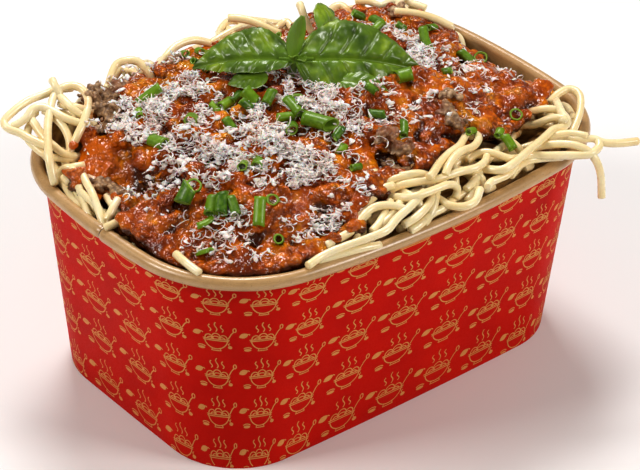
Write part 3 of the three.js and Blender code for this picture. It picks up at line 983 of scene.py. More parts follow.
STRANDS = [
    [(-82.5, 22.8, 76), (-80.9, 27.7, 83), (-75.6, 35.9, 87), (-72.4, 39.7, 89), (-68.3, 43.9, 91), (-64.2, 46.1, 92.5), (-59.8, 44.9, 93), (-58.1, 41.4, 92), (-59.5, 37.3, 90.5), (-64.5, 32.5, 88), (-69.4, 30, 84.5), (-70.9, 30.2, 82)],
    [(-58, 48.1, 90), (-63, 49.6, 90.5), (-66.8, 49.2, 90.5), (-73.2, 49.8, 90), (-79.4, 49.1, 88.5), (-83.4, 47.9, 87), (-83.8, 45.1, 86), (-81.5, 42.4, 85), (-80.1, 38.9, 84), (-77.5, 33.1, 83)],
    [(-64.8, 48.8, 95), (-65.4, 45.9, 93.5), (-65.1, 44.3, 91)],
    [(-82.3, 45, 86), (-78.2, 44, 88), (-75, 44.8, 90), (-72.2, 43.7, 90.5), (-70.5, 40.2, 89.5), (-68.5, 35.5, 88.5), (-65.2, 33, 87), (-60.6, 32.4, 85)],
    [(-73.3, 45.5, 88), (-75.9, 44.4, 88), (-76.4, 41.6, 86.5), (-76.4, 36.4, 84), (-75.4, 30.5, 82.5), (-73.9, 28.3, 81), (-71.5, 27.3, 79)],
    [(-76, 44.3, 86), (-78.1, 43, 84.5), (-79.6, 40.9, 83), (-79.4, 36.7, 81.5), (-78.5, 32.9, 80.5), (-76.1, 30.1, 80), (-73.2, 27.9, 80), (-68.7, 28.1, 79)],
    [(-64.9, 47.2, 91), (-65.5, 42.7, 91.5), (-65.5, 37.5, 90.5), (-63.7, 35.1, 88.5), (-60.3, 35.4, 86)],
    [(-71.6, 43.6, 89), (-70.5, 40.3, 88), (-70.1, 35.7, 86.5), (-70.6, 32, 84), (-71.8, 29.8, 81.5), (-73.2, 28.5, 79)],
    [(-65.6, 43.6, 89), (-64.9, 39.4, 90), (-63.1, 36.5, 90), (-59.7, 35.2, 88)],
    [(-81.5, 24.6, 75.5), (-78.7, 25.9, 77.5), (-76.9, 25.5, 79), (-75.7, 23.5, 80), (-72.2, 22, 79)],
    [(-76.8, 38.7, 79), (-76.8, 32.5, 77), (-78.7, 24.4, 76), (-81, 16, 75), (-81.6, 8.9, 73.5)],
    [(-71.5, 34.6, 79), (-74.6, 28.1, 78), (-77.2, 21.2, 77), (-80.1, 13.1, 75), (-81.2, 5.4, 73)],
    [(-76, 22.8, 80), (-77.9, 18.2, 79), (-79.8, 12.7, 77.5), (-82.1, 6.6, 75), (-83, 3.9, 73)],
    [(-75.9, 18.8, 80.5), (-77.7, 12, 79.5), (-79.7, 5.6, 78), (-81.6, -0.6, 75), (-81.9, -2.7, 72.5)],
    [(-74.4, 1.5, 79), (-78.7, -0.9, 77.5), (-80.7, -1.7, 75)],
    [(-84.2, -5.5, 76), (-81.5, -6.4, 77.2), (-78.5, -7.2, 78)],
    [(-76.7, -30.2, 77), (-77.1, -35.5, 77), (-76.5, -41.1, 76)],
    [(-43.5, 49, 86), (-41.9, 50.1, 88), (-38.3, 52, 90), (-35, 50.6, 91), (-32.2, 48.4, 90.5), (-31.2, 45.4, 88), (-30.2, 44.3, 85)],
    [(-23.9, 49.7, 84), (-20.1, 51.1, 86.5), (-14.9, 52.7, 88), (-10.4, 52.8, 88.5), (-6.4, 52.2, 88), (-2.5, 50.5, 86)],
    [(5, 50.5, 93), (7.8, 48, 93), (10.4, 44.6, 92.5), (12.6, 40.6, 91.5), (15, 36.4, 90)],
    [(23.8, 37.5, 98), (22.8, 34.4, 96), (22.7, 32.1, 93), (23.2, 30.2, 90)],
    [(54.9, 25.9, 90), (60.5, 22.3, 89), (65.8, 17.8, 87), (69.7, 14.1, 84)],
    [(65, -40.2, 83), (62.4, -44.1, 83.5), (60.1, -48.2, 83.5), (58.5, -52, 83), (54.9, -53.4, 83), (50.9, -53.2, 83.2), (43.1, -55.7, 83.5), (35.5, -58.1, 83.8), (28.2, -60.2, 83.5), (23.5, -60.3, 83), (21.3, -56.6, 82), (20, -52.5, 81)],
    [(64.4, -37.8, 81), (66.3, -37.8, 82.5), (68.5, -37.7, 83.5), (71.9, -38.2, 84), (73.2, -40.3, 84), (72.3, -43.6, 83.5), (69.2, -47, 82), (66, -49.3, 80.5), (61.1, -52.2, 79), (56.5, -54, 78)],
    [(47.1, -52.1, 80.5), (51.1, -53.6, 81), (54, -55.9, 81.5), (56, -60.5, 82), (59.3, -62.7, 82), (61, -66.1, 81.5), (64.9, -68.4, 81), (71, -70.6, 80.5)],
    [(49.1, -53.4, 81.5), (52.3, -55.3, 82.5), (55.3, -57.9, 83), (57.5, -61.7, 83)],
    [(42.3, -52.7, 80), (45.8, -55.4, 81), (49.2, -59.1, 82), (52.1, -63.3, 82.5), (54.1, -66.4, 81), (55.4, -68.8, 78), (55.9, -70.4, 74), (55.8, -71.3, 70), (55.3, -72.3, 66)],
    [(19, -49.4, 82), (22, -49.6, 83.5), (24.5, -51.1, 84.5), (26.1, -53.4, 84.5), (28.7, -56.9, 83.5), (32.7, -57.3, 82), (37.9, -56.9, 81), (43.1, -59.9, 80.5), (48.4, -62.9, 80), (51.6, -65.3, 80), (54.1, -67.1, 80.5), (58.5, -66.3, 81), (60, -64.3, 82)],
    [(27.7, -60, 79), (32.2, -58, 79.5), (37.6, -57.4, 79.5), (43.1, -58.6, 79), (48.3, -60.8, 78.5)],
    [(-12.8, -45.8, 80), (-9.8, -47.5, 81.5), (-5.8, -49.1, 83), (-2.3, -50.6, 83.5), (1.1, -52.8, 84), (4, -53.8, 84), (10.9, -54.6, 84), (16.5, -55.9, 84), (21, -54.9, 84), (25, -51.7, 83.5)],
    [(-11.3, -48, 80), (-10.4, -50.5, 81), (-8.4, -55.1, 82.5), (-2.1, -56.4, 83), (5.1, -56.9, 83.2), (6.9, -57.6, 82.5), (7.6, -57.8, 80.5), (6.1, -58.7, 78)],
    [(-5.8, -46.7, 85), (-1.7, -49, 85), (1.7, -51.4, 84), (5.3, -54.8, 82)],
    [(-12.7, -44.9, 82.5), (-10, -45.4, 84), (-6.6, -47.1, 85), (-2.5, -48.5, 85)],
    [(-11.3, -41.3, 86.5), (-11.7, -42.4, 85.5), (-12.5, -44.7, 83), (-14, -46.6, 80.5)],
    [(-0.2, -53.5, 84.5), (2, -52.8, 85.5), (6.7, -50.3, 86.5), (12.5, -48.3, 87), (17.9, -46.8, 87), (24.2, -42.8, 86.5)],
    [(5.5, -54.3, 84.5), (6.7, -53.7, 85.5), (10.7, -51.5, 86.5), (16.9, -49.7, 86.5), (21.8, -49.1, 86.5), (25.7, -46.9, 86.5), (27.5, -43.8, 86), (25.9, -42.4, 85)],
    [(1.5, -54.3, 79), (1.7, -57.6, 79), (2.4, -60.8, 78.5), (5.2, -63.3, 78.3), (9.7, -63.5, 78.5), (14.6, -60.4, 79.5)],
    [(2.2, -54.7, 81), (-0, -56.5, 80.5), (-2.6, -58.5, 78), (-5.5, -59.6, 76.5), (-7.6, -60.4, 75)],
    [(-14.8, -59.4, 77.5), (-9.7, -59.6, 79), (-4.6, -58.3, 80), (-0.4, -55.9, 80.5)],
    [(17.2, -60.9, 79.5), (19.5, -59.8, 79.8), (22.8, -60.1, 80), (25.8, -60.3, 80.3), (30.8, -58.5, 81)],
    [(11.4, -57.6, 79), (15.6, -56.5, 80), (19.4, -54.9, 81), (22.2, -52.6, 82)],
    [(9.9, -60.3, 77), (13.4, -58.6, 78), (17.6, -55.2, 79), (18.8, -52, 80.5)],
    [(-49.9, -57.7, 76.5), (-44.8, -57, 77), (-39.7, -57.5, 77.8), (-34.8, -58.5, 78.3), (-29.7, -59.8, 79), (-23.1, -60.7, 79.5), (-18.7, -59.3, 80.2), (-16.2, -58.4, 80.5), (-11.3, -57.3, 81.2), (-6.6, -55.9, 81.8), (-2.7, -54.3, 82)],
    [(-45.5, -56.9, 75.5), (-40.2, -57.9, 75.8), (-35.1, -58.9, 76), (-29.8, -59.9, 76), (-24.9, -60.5, 75)],
    [(-40.6, -54.5, 78), (-38.5, -54.7, 78.5), (-31.7, -55.1, 80), (-25.6, -52.6, 81), (-21, -51.8, 82), (-16.8, -53.2, 82.3), (-13.6, -55.9, 81.8), (-12.1, -57.5, 80.5)],
    [(-31, -57.2, 77), (-29.3, -54.8, 78.5), (-26.7, -52.9, 80), (-22.2, -51.7, 80.8)],
    [(-42.8, -53.6, 77), (-37.9, -53.2, 78), (-31.9, -52.7, 79.5), (-25.5, -50.9, 81), (-18.7, -48.4, 82), (-13.6, -47.3, 83), (-9.5, -48, 83.5)],
    [(-25.6, -57.5, 78.5), (-21.3, -56, 79.5), (-16.5, -53.1, 80), (-12.6, -50.5, 80)],
    [(-21.4, -56.7, 78.5), (-16.6, -55.5, 79.5), (-11.8, -53.5, 80.5), (-7.8, -51.2, 81)],
    [(-13.6, -60.9, 75.5), (-9.4, -60.6, 76.5), (-3.5, -59.2, 77), (1.6, -59.2, 77.5), (7.8, -57.2, 78)],
]

N_SCATTER = scatter_strands(120, 5) + ring_strands(120, 6)
for pts in STRANDS:
    p = spline(pts)
    sup = support(p)
    rim_out = np.hypot(p[:, 0], p[:, 1]) > wall_radius(np.arctan2(p[:, 1], p[:, 0])) - R
    sup = np.where(rim_out, -50, sup)
    z = np.maximum(p[:, 2], np.where(sup > p[:, 2] + 1.4, p[:, 2], sup))
    p[:, 2] = lowpass(z, 2.0)
    stamp(p)
    tube(p, sides=10, stain=stain_of(p))
# strands that hang over the back of the rim
for pts in ([(6, 46, 83), (11, 55, 82.5), (15, 62, 79.8), (17.5, 67.5, 77.2), (18, 69.5, 72), (17.5, 69.6, 66)],
            [(18, 44, 83), (19.5, 54, 82), (21, 61.5, 79.6), (23, 67.2, 78.3), (27, 70.5, 76.6), (33, 69.5, 74.6), (38, 67.6, 73), (43, 67.3, 71.5)],
            [(0, 42, 84), (5, 53, 82), (9, 60, 79.8), (12.5, 65, 79.3), (19, 68.2, 79.6), (26, 66.5, 77.5), (31, 62, 75.5), (34, 57, 73)]):
    p = spline(pts)
    stamp(p[np.hypot(p[:, 0], p[:, 1]) < wall_radius(np.arctan2(p[:, 1], p[:, 0]))])
    tube(p, sides=9, stain=stain_of(p))

# the filled core below the strands
n_ring = 40
fr = np.linspace(0, 1, n_ring + 1)[1:]
ca = np.linspace(-math.pi, math.pi, 241)[:-1]
rings = []
low = 9.0
shrink = lambda z: (np.hypot(*(wall(z, -PAPER - 0.35)[:, :2].T)))
bot = wall(8.0, -PAPER - 0.4)
bot_r = np.interp(ca, np.sort(np.arctan2(bot[:, 1], bot[:, 0])), np.hypot(bot[:, 0], bot[:, 1])[np.argsort(np.arctan2(bot[:, 1], bot[:, 0]))], period=TAU)
top_r = wall_radius(ca) - 0.9
rings.append(np.stack([np.cos(ca) * bot_r * 0.99, np.sin(ca) * bot_r * 0.99, np.full(240, low)], 1))
for t in (0.3, 0.6):
    rr = bot_r * 0.99 * (1 - t) + (top_r - 1.2) * t
    rings.append(np.stack([np.cos(ca) * rr, np.sin(ca) * rr, np.full(240, low + (58 - low) * t)], 1))
for f in fr[::-1]:
    x, y = np.cos(ca) * top_r * f, np.sin(ca) * top_r * f
    z = sample(np.nan_to_num(PASTA_H, nan=62.0), x * 0.985, y * 0.985) - SINK + 0.5 * noise3(np.stack([x, y, 0 * x], 1), 5, 9)
    rings.append(np.stack([x * (0.985 if f > 0.9 else 1), y * (0.985 if f > 0.9 else 1), z], 1))
v, f = loft(rings)
nv = len(v)
v = np.concatenate([v, [[0, 0, low]], [[0, 0, v[-240:, 2].mean()]]])
j = np.arange(240)
f3 = np.concatenate([np.stack([(j + 1) % 240, j, np.full(240, nv)], 1), np.stack([nv - 240 + j, nv - 240 + (j + 1) % 240, np.full(240, nv + 1)], 1)])
core = make_mesh("spaghetti_core", v, [f, f3], CORE)
put(core, "pasta")
strands_obj = put(STRANDS_OUT.build("spaghetti_strands", PASTA), "pasta", "spaghetti")
print("strands", STRAND_COUNT, "of which scattered", N_SCATTER, "faces", len(strands_obj.data.polygons))


# ---------------------------------------------------------------- meat sauce
def icosphere(sub):
    import bmesh
    bm = bmesh.new()
    bmesh.ops.create_icosphere(bm, subdivisions=sub, radius=1.0)
    v = np.array([x.co[:] for x in bm.verts])
    f = np.array([[y.index for y in x.verts] for x in bm.faces])
    bm.free()
    return v, f


ICO2, ICO2F = icosphere(2)
ICO3, ICO3F = icosphere(3)


def filled(grid, rounds=14):
    g = grid.copy()
    for _ in range(rounds):
        bad = np.isnan(g)
        if not bad.any():
            break
        p = np.pad(g, 1, constant_values=np.nan)
        nb = np.stack([p[:-2, 1:-1], p[2:, 1:-1], p[1:-1, :-2], p[1:-1, 2:]])
        cnt = (~np.isnan(nb)).sum(0)
        m = np.where(cnt > 0, np.nansum(nb, 0) / np.maximum(cnt, 1), np.nan)
        g = np.where(bad, m, g)
    return np.nan_to_num(g, nan=60.0)


SAUCE_F = filled(SAUCE_H)
PASTA_F = filled(PASTA_H)


def remeshed(batch, voxel_mm, name):
    """One skin over everything in the batch: vertices (mm), faces, vertex normals."""
    tmp = batch.build(name + "_tmp", SAUCE)
    md = tmp.modifiers.new("r", "REMESH")
    md.mode = "VOXEL"
    md.voxel_size = voxel_mm * MM
    dg = bpy.context.evaluated_depsgraph_get()
    me = bpy.data.meshes.new_from_object(tmp.evaluated_get(dg))
    n = len(me.vertices)
    v = np.empty(n * 3)
    me.vertices.foreach_get("co", v)
    nr = np.empty(n * 3)
    me.vertices.foreach_get("normal", nr)
    v = v.reshape(-1, 3) / MM
    nr = nr.reshape(-1, 3)
    me.calc_loop_triangles()
    f = np.empty(len(me.loop_triangles) * 3, np.int32)
    me.loop_triangles.foreach_get("vertices", f)
    old = tmp.data
    bpy.data.objects.remove(tmp)
    bpy.data.meshes.remove(old)
    bpy.data.meshes.remove(me)
    return v, f.reshape(-1, 3), nr


def lumpy(r, seed, rough=0.28, squash=0.8):
    v = ICO2 * 1.0
    k = 1 + rough * noise3(v * 1.0 + seed * 7.7, 0.9, seed) + rough * 0.6 * noise3(v * 1.0 + seed * 3.1, 0.45, seed + 5)
    v = v * k[:, None] * r
    v[:, 2] *= squash
    return v


def turn(v, g):
    q = g.uniform(0, TAU)
    c, s = math.cos(q), math.sin(q)
    m = np.array([[c, -s, 0], [s, c, 0], [0, 0, 1]])
    q = g.normal(0, 0.5)
    c, s = math.cos(q), math.sin(q)
    return v @ (m @ np.array([[1, 0, 0], [0, c, -s], [0, s, c]])).T


PITS = [(-68.9, 6.9, 4.2, 5.5), (-69.9, 5.0, 5.6, 8.0), (-62, -5, 4.0, 2.2), (-50, -10, 4.5, 2.5), (-4, -39, 4.5, 3.5), (37, -27, 5.0, 2.2), (10, -36, 4.0, 2.0)]
MINCE_AT = [(-41.8, 43.7, 3.4), (-49.2, 42.4, 4.6), (-54.3, 40.0, 4.2), (-54, 40, 5.6), (-49, 45, 5.2), (-48, 40, 5.2), (-53, 34, 5.0), (-58, 30, 4.2), (-55, 36, 5.4), (-35, -46.5, 2.6), (33, 45, 4), (60, 30, 3.2), (-20, 47, 3.6), (-1.9, -35.7, 4.4), (-3.0, -40.7, 4.8), (1.0, -39.3, 3.6), (-6.5, -42.2, 3.8), (30.5, -29.1, 3.0), (25.2, -33.7, 3.6), (23.4, -38.5, 3.4), (-72.9, 12.4, 3.2), (-71.5, 12.2, 2.8), (-71.3, 4.9, 2.2)]


def edge_radius(a):
    """Outline of the sauce; it reaches the wall at the front corner."""
    f = front_corner(a)
    r = sauce_radius(a) + 24.0 * f
    r = np.minimum(r, wall_radius(a) - 0.9 + 0.6 * f)
    d = (np.degrees(a) - 166) / 9
    r = np.minimum(r + 4.5 * np.exp(-d * d), wall_radius(a) - 0.9 + 0.6 * f)
    d = (np.degrees(a) + 155) / 2.6
    return r - 1.6 * np.exp(-d * d)


def lift_at(x, y):
    """Sauce heaped against the wall at the front corner and on the far right."""
    a = np.arctan2(y, x)
    f = np.hypot(x, y) / edge_radius(a)
    d = (np.degrees(a) + 6) / 28
    right = 4.4 * np.exp(-d * d) * smooth(0.68, 0.96, f)
    d = (np.degrees(a) - 58) / 32
    z = sample(SAUCE_F, x, y) - 1.5 + right - 3.2 * np.exp(-d * d) * smooth(0.42, 0.85, f)
    z = np.maximum(z, 68.0 * (front_corner(a) > 0.05))
    rim = 77.6 - 1.6 * smooth(0.93, 1.0, f)
    return z + front_corner(a) * (np.maximum(0, rim - z) * 0.95 - np.maximum(0, z - rim - 0.6) * smooth(0.93, 1.0, f))


def make_sauce():
    g = np.random.default_rng(21)
    b = Batch()
    na = 240
    a = np.linspace(-math.pi, math.pi, na + 1)[:-1]
    edge = edge_radius(a) + (1.6 * noise3(np.stack([np.cos(a) * 60, np.sin(a) * 60, 0 * a], 1), 7, 31) - 0.6) * (1 - front_corner(a))
    edge = np.minimum(edge, wall_radius(a) - 0.9 + 0.6 * front_corner(a))
    fr = np.concatenate([np.linspace(0.03, 0.9, 28), [0.95, 0.985]])
    rings = []

    def top_of(x, y, f):
        z = lift_at(x, y)
        z = z + 2.0 * noise3(np.stack([x, y, 0 * x], 1), 11, 41) + 1.2 * noise3(np.stack([x, y, 0 * x], 1), 5, 42)
        for px, py, pr, pd in PITS:
            z = z - pd * np.exp(-((x - px) ** 2 + (y - py) ** 2) / (pr * pr))
        return z
    for f in fr:
        x, y = np.cos(a) * edge * f, np.sin(a) * edge * f
        rings.append(np.stack([x, y, sample(PASTA_F, x, y) - 1.2], 1))
    xe, ye = np.cos(a) * edge, np.sin(a) * edge
    low = sample(PASTA_F, xe, ye)
    rings.append(np.stack([xe, ye, low + 0.3], 1))
    for f in fr[::-1]:
        out = f + (0.0125 * front_corner(a) if f > 0.98 else 0)
        x, y = np.cos(a) * edge * out, np.sin(a) * edge * out
        z = top_of(x, y, f)
        if f > 0.9:
            z = z - 0.9 * (f - 0.9) / 0.085 * (1 - front_corner(a))
        rings.append(np.stack([x, y, z], 1))
    v, f4 = loft(rings)
    n = len(v)
    v = np.concatenate([v, [[0, 0, sample(PASTA_F, 0, 0) - 1.2]], [[0, 0, v[-na:, 2].mean()]]])
    j = np.arange(na)
    f3 = np.concatenate([np.stack([(j + 1) % na, j, np.full(na, n)], 1), np.stack([n - na + j, n - na + (j + 1) % na, np.full(na, n + 1)], 1)])
    b.add(v, f3, f4)
    # mince lumps under the sauce
    for k in range(2700):
        q = g.uniform(-math.pi, math.pi)
        er = min(float(edge_radius(q)), float(wall_radius(q)) - 2.2 + 1.1 * float(front_corner(q)))
        rr = er * math.sqrt(g.uniform(0, 1.0))
        x, y = rr * math.cos(q), rr * math.sin(q)
        if min(math.hypot(x - px, y - py) / pr for px, py, pr, pd in PITS) < 0.8:
            continue
        r = 1.1 + 2.6 * g.beta(1.3, 2.2) if k < 1000 else g.uniform(0.75, 1.4)
        if math.hypot((x + 68) / 8, (y - 18) / 13) < 1 and g.uniform() < 0.8:
            continue
        z = float(lift_at(np.array([x]), np.array([y]))[0]) + 2.0 * float(noise3([[x, y, 0]], 11, 41)[0]) + 1.2 * float(noise3([[x, y, 0]], 5, 42)[0])
        if rr > er * 0.9:
            z -= 0.8
        p = turn(lumpy(r, k, 0.34), g) * np.array([1.15, 0.95, 0.85])
        b.add(p + [x, y, z + r * g.uniform(-0.15, 0.5)], ICO2F)
    # sauce that runs down to the rim of the front corner
    for q in np.radians(np.arange(-176, -120, 0.9)):
        r = g.uniform(1.3, 2.1)
        rr = float(wall_radius(q)) - 0.35 - 0.8 * r
        b.add(turn(lumpy(r, 5000 + int(q * 90), 0.25, 0.7), g) + [rr * math.cos(q), rr * math.sin(q), 75.6 - 0.45 * r + g.uniform(-0.3, 0.4)], ICO2F)
    # blobs of sauce that sit on the strands at the edge
    for k in range(90):
        q = g.uniform(-math.pi, math.pi)
        er = min(float(edge_radius(q)) + g.uniform(-2, 1.2), float(wall_radius(q)) - 2.6)
        x, y = er * math.cos(q), er * math.sin(q)
        i, jj = cell(x, y)
        z = max(float(lift_at(np.array([x]), np.array([y]))[0]) - 0.5, PILE[i, jj] - 0.4)
        r = g.uniform(1.2, 2.8)
        if z > float(sample(SAUCE_F, x, y)) + 2.0:
            continue
        b.add(turn(lumpy(r, 2000 + k, 0.3, 0.7), g) + [x, y, z], ICO2F)
    v, f, nr = remeshed(b, 0.82, "sauce")
    d = 0.38 * noise3(v, 2.2, 51) + 0.20 * noise3(v, 1.2, 52)
    v = v + nr * d[:, None]
    keep_z = v[:, 2] > 0
    # tops and gaps: height above the smoothed top, which the material uses to paint shade into the gaps
    i, jj = cell(v[:, 0], v[:, 1])
    top = np.full(HN, -50.0)
    np.maximum.at(top, (i, jj), v[:, 2])
    for _ in range(3):
        p = np.pad(top, 1, constant_values=-50)
        m = np.max(np.stack([p[1 + a:HN[0] + 1 + a, 1 + c:HN[1] + 1 + c] for a in (-1, 0, 1) for c in (-1, 0, 1)]), 0)
        top = np.where(top < 0, m, top)
    soft = top.copy()
    ok = (soft > 0).astype(float)
    sv = np.where(soft > 0, soft, 0)
    k = np.exp(-0.5 * (np.arange(-12, 13) * CELL / 2.6) ** 2)
    k /= k.sum()
    for axis in (0, 1):
        sv = np.apply_along_axis(lambda r: np.convolve(r, k, "same"), axis, sv)
        ok = np.apply_along_axis(lambda r: np.convolve(r, k, "same"), axis, ok)
    soft = sv / np.maximum(ok, 1e-3)
    high = np.clip((v[:, 2] - soft[i, jj]) / 2.4 + 0.5, 0, 1)
    tongue = smooth(1.2, 0.7, np.hypot((v[:, 0] + 68) / 8, (v[:, 1] - 20) / 13))
    # the tongue of tomato sauce is kept out of the painted shade
    high = np.maximum(high, 0.8 * tongue)
    # painted shade: the hollow at the left is forced to the dark of the gaps
    high = np.minimum(high, smooth(0.6, 1.2, np.hypot((v[:, 0] + 69.3) / 4.8, (v[:, 1] - 5.6) / 4.4)))
    print("sauce faces", len(f))
    o = make_mesh("meat_sauce_body", v, f, SAUCE, attrs={"high": high, "tomato": smooth(1.25, 0.6, np.hypot((v[:, 0] + 71) / 9, (v[:, 1] - 19) / 13))})
    put(o, "sauce", "meat_sauce")
    return np.where(top > 0, top, -50)


SAUCE_TOP = make_sauce()
np.maximum(PILE, SAUCE_TOP, out=PILE)


def stamp_points(p, pad=0):
    i, j = cell(p[:, 0], p[:, 1])
    for a in range(-pad, pad + 1):
        for c in range(-pad, pad + 1):
            np.maximum.at(PILE, (np.clip(i + a, 0, HN[0] - 1), np.clip(j + c, 0, HN[1] - 1)), p[:, 2])


def make_mince():
    g = np.random.default_rng(33)
    b = Batch()
    for n, (x, y, size) in enumerate(MINCE_AT):
        i, j = cell(x, y)
        zc = PILE[i, j] - 0.4
        for k in range(int(7 * size)):
            r = g.uniform(0.7, 1.5)
            o = g.normal(0, 0.47, 3) * size
            o[2] = abs(o[2]) * 0.7
            b.add(turn(lumpy(r, 3000 + 40 * n + k, 0.34), g) + [x + o[0], y + o[1], zc + o[2]], ICO2F)
    v, f, nr = remeshed(b, 0.5, "mince")
    v = v + nr * (0.22 * noise3(v, 1.1, 61) + 0.12 * noise3(v, 0.6, 62))[:, None]
    put(make_mesh("browned_mince_lumps", v, f, MINCE), "sauce")
    stamp_points(v[v[:, 2] > 60], 0)


make_mince()
PILE_BARE = PILE.copy()


# ---------------------------------------------------------------- grated cheese
CHEESE_SPOTS = [  # x, y, spread, share
    (-22, -4, 13, 0.22), (-40, 16, 11, 0.13), (-8, 14, 13, 0.08), (-42, -24, 10, 0.13), (-24, -28, 12, 0.10), (-54, 6, 7, 0.05),
    (6, -18, 10, 0.06), (52, 2, 10, 0.08), (34, 14, 11, 0.05), (-30, 34, 9, 0.05), (-52, -34, 8, 0.03), (34, -32, 9, 0.02), (20, 40, 12, 0.01), (-6.6, -0.3, 7, 0.1), (36.1, 1.0, 6, 0.05), (-48.7, 35.1, 3.2, 0.035), (-68.6, 20.6, 4.5, 0.03),
    (-28.7, -27.6, 7, 0.015), (-31.3, -41.2, 7, 0.05), (-36.0, -54.1, 6, 0.04), (-42.5, -63.8, 4, 0.02), (-51.9, -19.8, 6, 0.03), (-52.1, -8.4, 7, 0.04), (-73.4, -37.4, 5, 0.015), (-73.1, -61.0, 4, 0.01), (-60.5, -66.9, 4, 0.015), (-67.5, 14.9, 6, 0.03), (-52.3, 25.6, 7, 0.05), (-61.9, -48.2, 5, 0.012), (-77.5, -57.6, 3, 0.008), (-35.9, 32.4, 8, 0.06)]


def make_cheese(count):
    g = np.random.default_rng(44)
    shares = np.array([s[3] for s in CHEESE_SPOTS])
    pick = g.choice(len(CHEESE_SPOTS), count, p=shares / shares.sum())
    spots = np.array(CHEESE_SPOTS)[pick]
    xy = spots[:, :2] + g.normal(0, 1, (count, 2)) * spots[:, 2:3]
    # gather into clumps
    cl = np.stack([xy[:, 0], xy[:, 1], np.zeros(count)], 1)
    dens = noise3(cl, 6.5, 71) + 0.6 * noise3(cl, 3, 72)
    a = np.arctan2(xy[:, 1], xy[:, 0])
    ci, cj = cell(xy[:, 0], xy[:, 1])
    raised = PILE_BARE[ci, cj] > lift_at(xy[:, 0], xy[:, 1]) + 5.0
    ok = (np.hypot(xy[:, 0], xy[:, 1]) < sauce_radius(a) + 1.0) & ~raised & (g.uniform(-0.35, 0.55, count) < dens)
    bare = (np.hypot((xy[:, 0] + 55) / 7.5, (xy[:, 1] - 38) / 8) < 1) | (np.hypot((xy[:, 0] + 71) / 7.5, (xy[:, 1] - 18) / 13) < 1)
    ok &= ~(bare & (g.uniform(0, 1, count) < 0.85))
    xy = xy[ok][:4700]
    curls, flakes = Batch(), Batch()
    m = 4
    j = np.arange(m)
    jn = (j + 1) % m

    def ribbon_faces(seg):
        return np.concatenate([np.stack([i * m + j, i * m + jn, (i + 1) * m + jn, (i + 1) * m + j], 1) for i in range(seg - 1)]
                              + [np.array([[3, 2, 1, 0]]), np.array([[(seg - 1) * m + k for k in range(4)]])])
    faces = {n: ribbon_faces(n) for n in (5, 6, 10)}
    made = [0, 0]
    for x, y in xy:
        kind = g.uniform()
        if kind < 0.34:  # thin curls
            seg, w, bend = 10, g.uniform(0.26, 0.55), g.uniform(0.9, 2.3)
            L = min(bend * g.uniform(1.2, 5.6), 8.5)
            kap, curl = g.choice([-1, 1]) / bend, g.normal(0, 0.14)
            th = g.uniform(0.10, 0.16)
        elif kind < 0.66:  # ragged flakes
            seg, L, w, kap, curl = 6, g.uniform(1.6, 3.8), g.uniform(0.8, 1.9), g.normal(0, 0.35), g.normal(0.12, 0.3)
            th = g.uniform(0.09, 0.16)
        else:  # crumbs and short shreds
            seg, L, w, kap, curl = 5, g.uniform(0.8, 2.2), g.uniform(0.35, 0.8), g.normal(0, 0.6), g.normal(0.1, 0.4)
            th = g.uniform(0.10, 0.18)
        s = np.linspace(-0.5, 0.5, seg) * L
        ha = g.uniform(0, TAU) + kap * s * (1 + g.normal(0, 0.25) * s / L)
        hp = g.normal(0, 0.26) + curl * s
        d = np.stack([np.cos(ha) * np.cos(hp), np.sin(ha) * np.cos(hp), np.sin(hp)], 1)
        P = np.cumsum(d, 0) * (L / (seg - 1))
        P -= P.mean(0)
        if seg == 10:  # the loop of a curl stands a little on edge
            tilt, q = g.normal(0, 0.42), g.uniform(0, TAU)
            ax = np.array([math.cos(q), math.sin(q), 0])
            P = P * math.cos(tilt) + np.cross(ax, P) * math.sin(tilt) + ax * (P @ ax)[:, None] * (1 - math.cos(tilt))
        P[:, 0] += x
        P[:, 1] += y
        tw = g.normal(0, 0.6) + g.normal(0, 1.5) * s / L
        side = np.stack([-np.sin(ha), np.cos(ha), 0 * ha], 1)
        upv = np.cross(d, side)
        sd = side * np.cos(tw)[:, None] + upv * np.sin(tw)[:, None]
        nv = np.cross(d, sd)
        ii, jj = cell(P[:, 0], P[:, 1])
        ground = PILE[ii, jj]
        gap = ground - P[:, 2]
        P[:, 2] += 0.5 * gap.max() + 0.5 * np.median(gap) + 0.1 + 0.25 * w * abs(math.sin(tw[0]))
        taper = 1 - 0.45 * np.abs(2 * s / L) ** 3
        wl = w * taper * g.uniform(0.45, 1.4, seg)
        wr = w * taper * g.uniform(0.45, 1.4, seg)
        a0 = P - sd * wl[:, None] * 0.5
        a1 = P + sd * wr[:, None] * 0.5
        ring = np.stack([a0 - nv * th * 0.3, a1 - nv * th * 0.3, a1 + nv * th * 0.5, a0 + nv * th * 0.5], 1)
        see = np.clip(g.beta(1.2, 2.6) + 0.35 * np.abs(2 * s / L) ** 2 + g.normal(0, 0.1, seg), 0, 1)
        see = see[:, None] + np.array([0.15, 0.15, -0.05, -0.05]) * np.where(g.uniform() < 0.5, 1, -1)
        (curls if seg == 10 else flakes).add(ring.reshape(-1, 3), None, faces[seg], clear=np.clip(see, 0, 1).ravel())
        rise = 1.1 if seg == 10 else 1.6
        np.maximum.at(PILE, (ii, jj), np.minimum(P[:, 2] + 0.1, PILE_BARE[ii, jj] + rise))
        made[seg == 10] += 1
    slot = "cheese" if "cheese" in SLOTS else "sauce"
    put(curls.build("grated_cheese_curls", CHEESE), slot)
    put(flakes.build("grated_cheese_flakes", CHEESE), slot)
    print("cheese flakes, curls", made)


SLOTS = [m["slot"] for m in frame["record"]["materials"]]
make_cheese(13000)

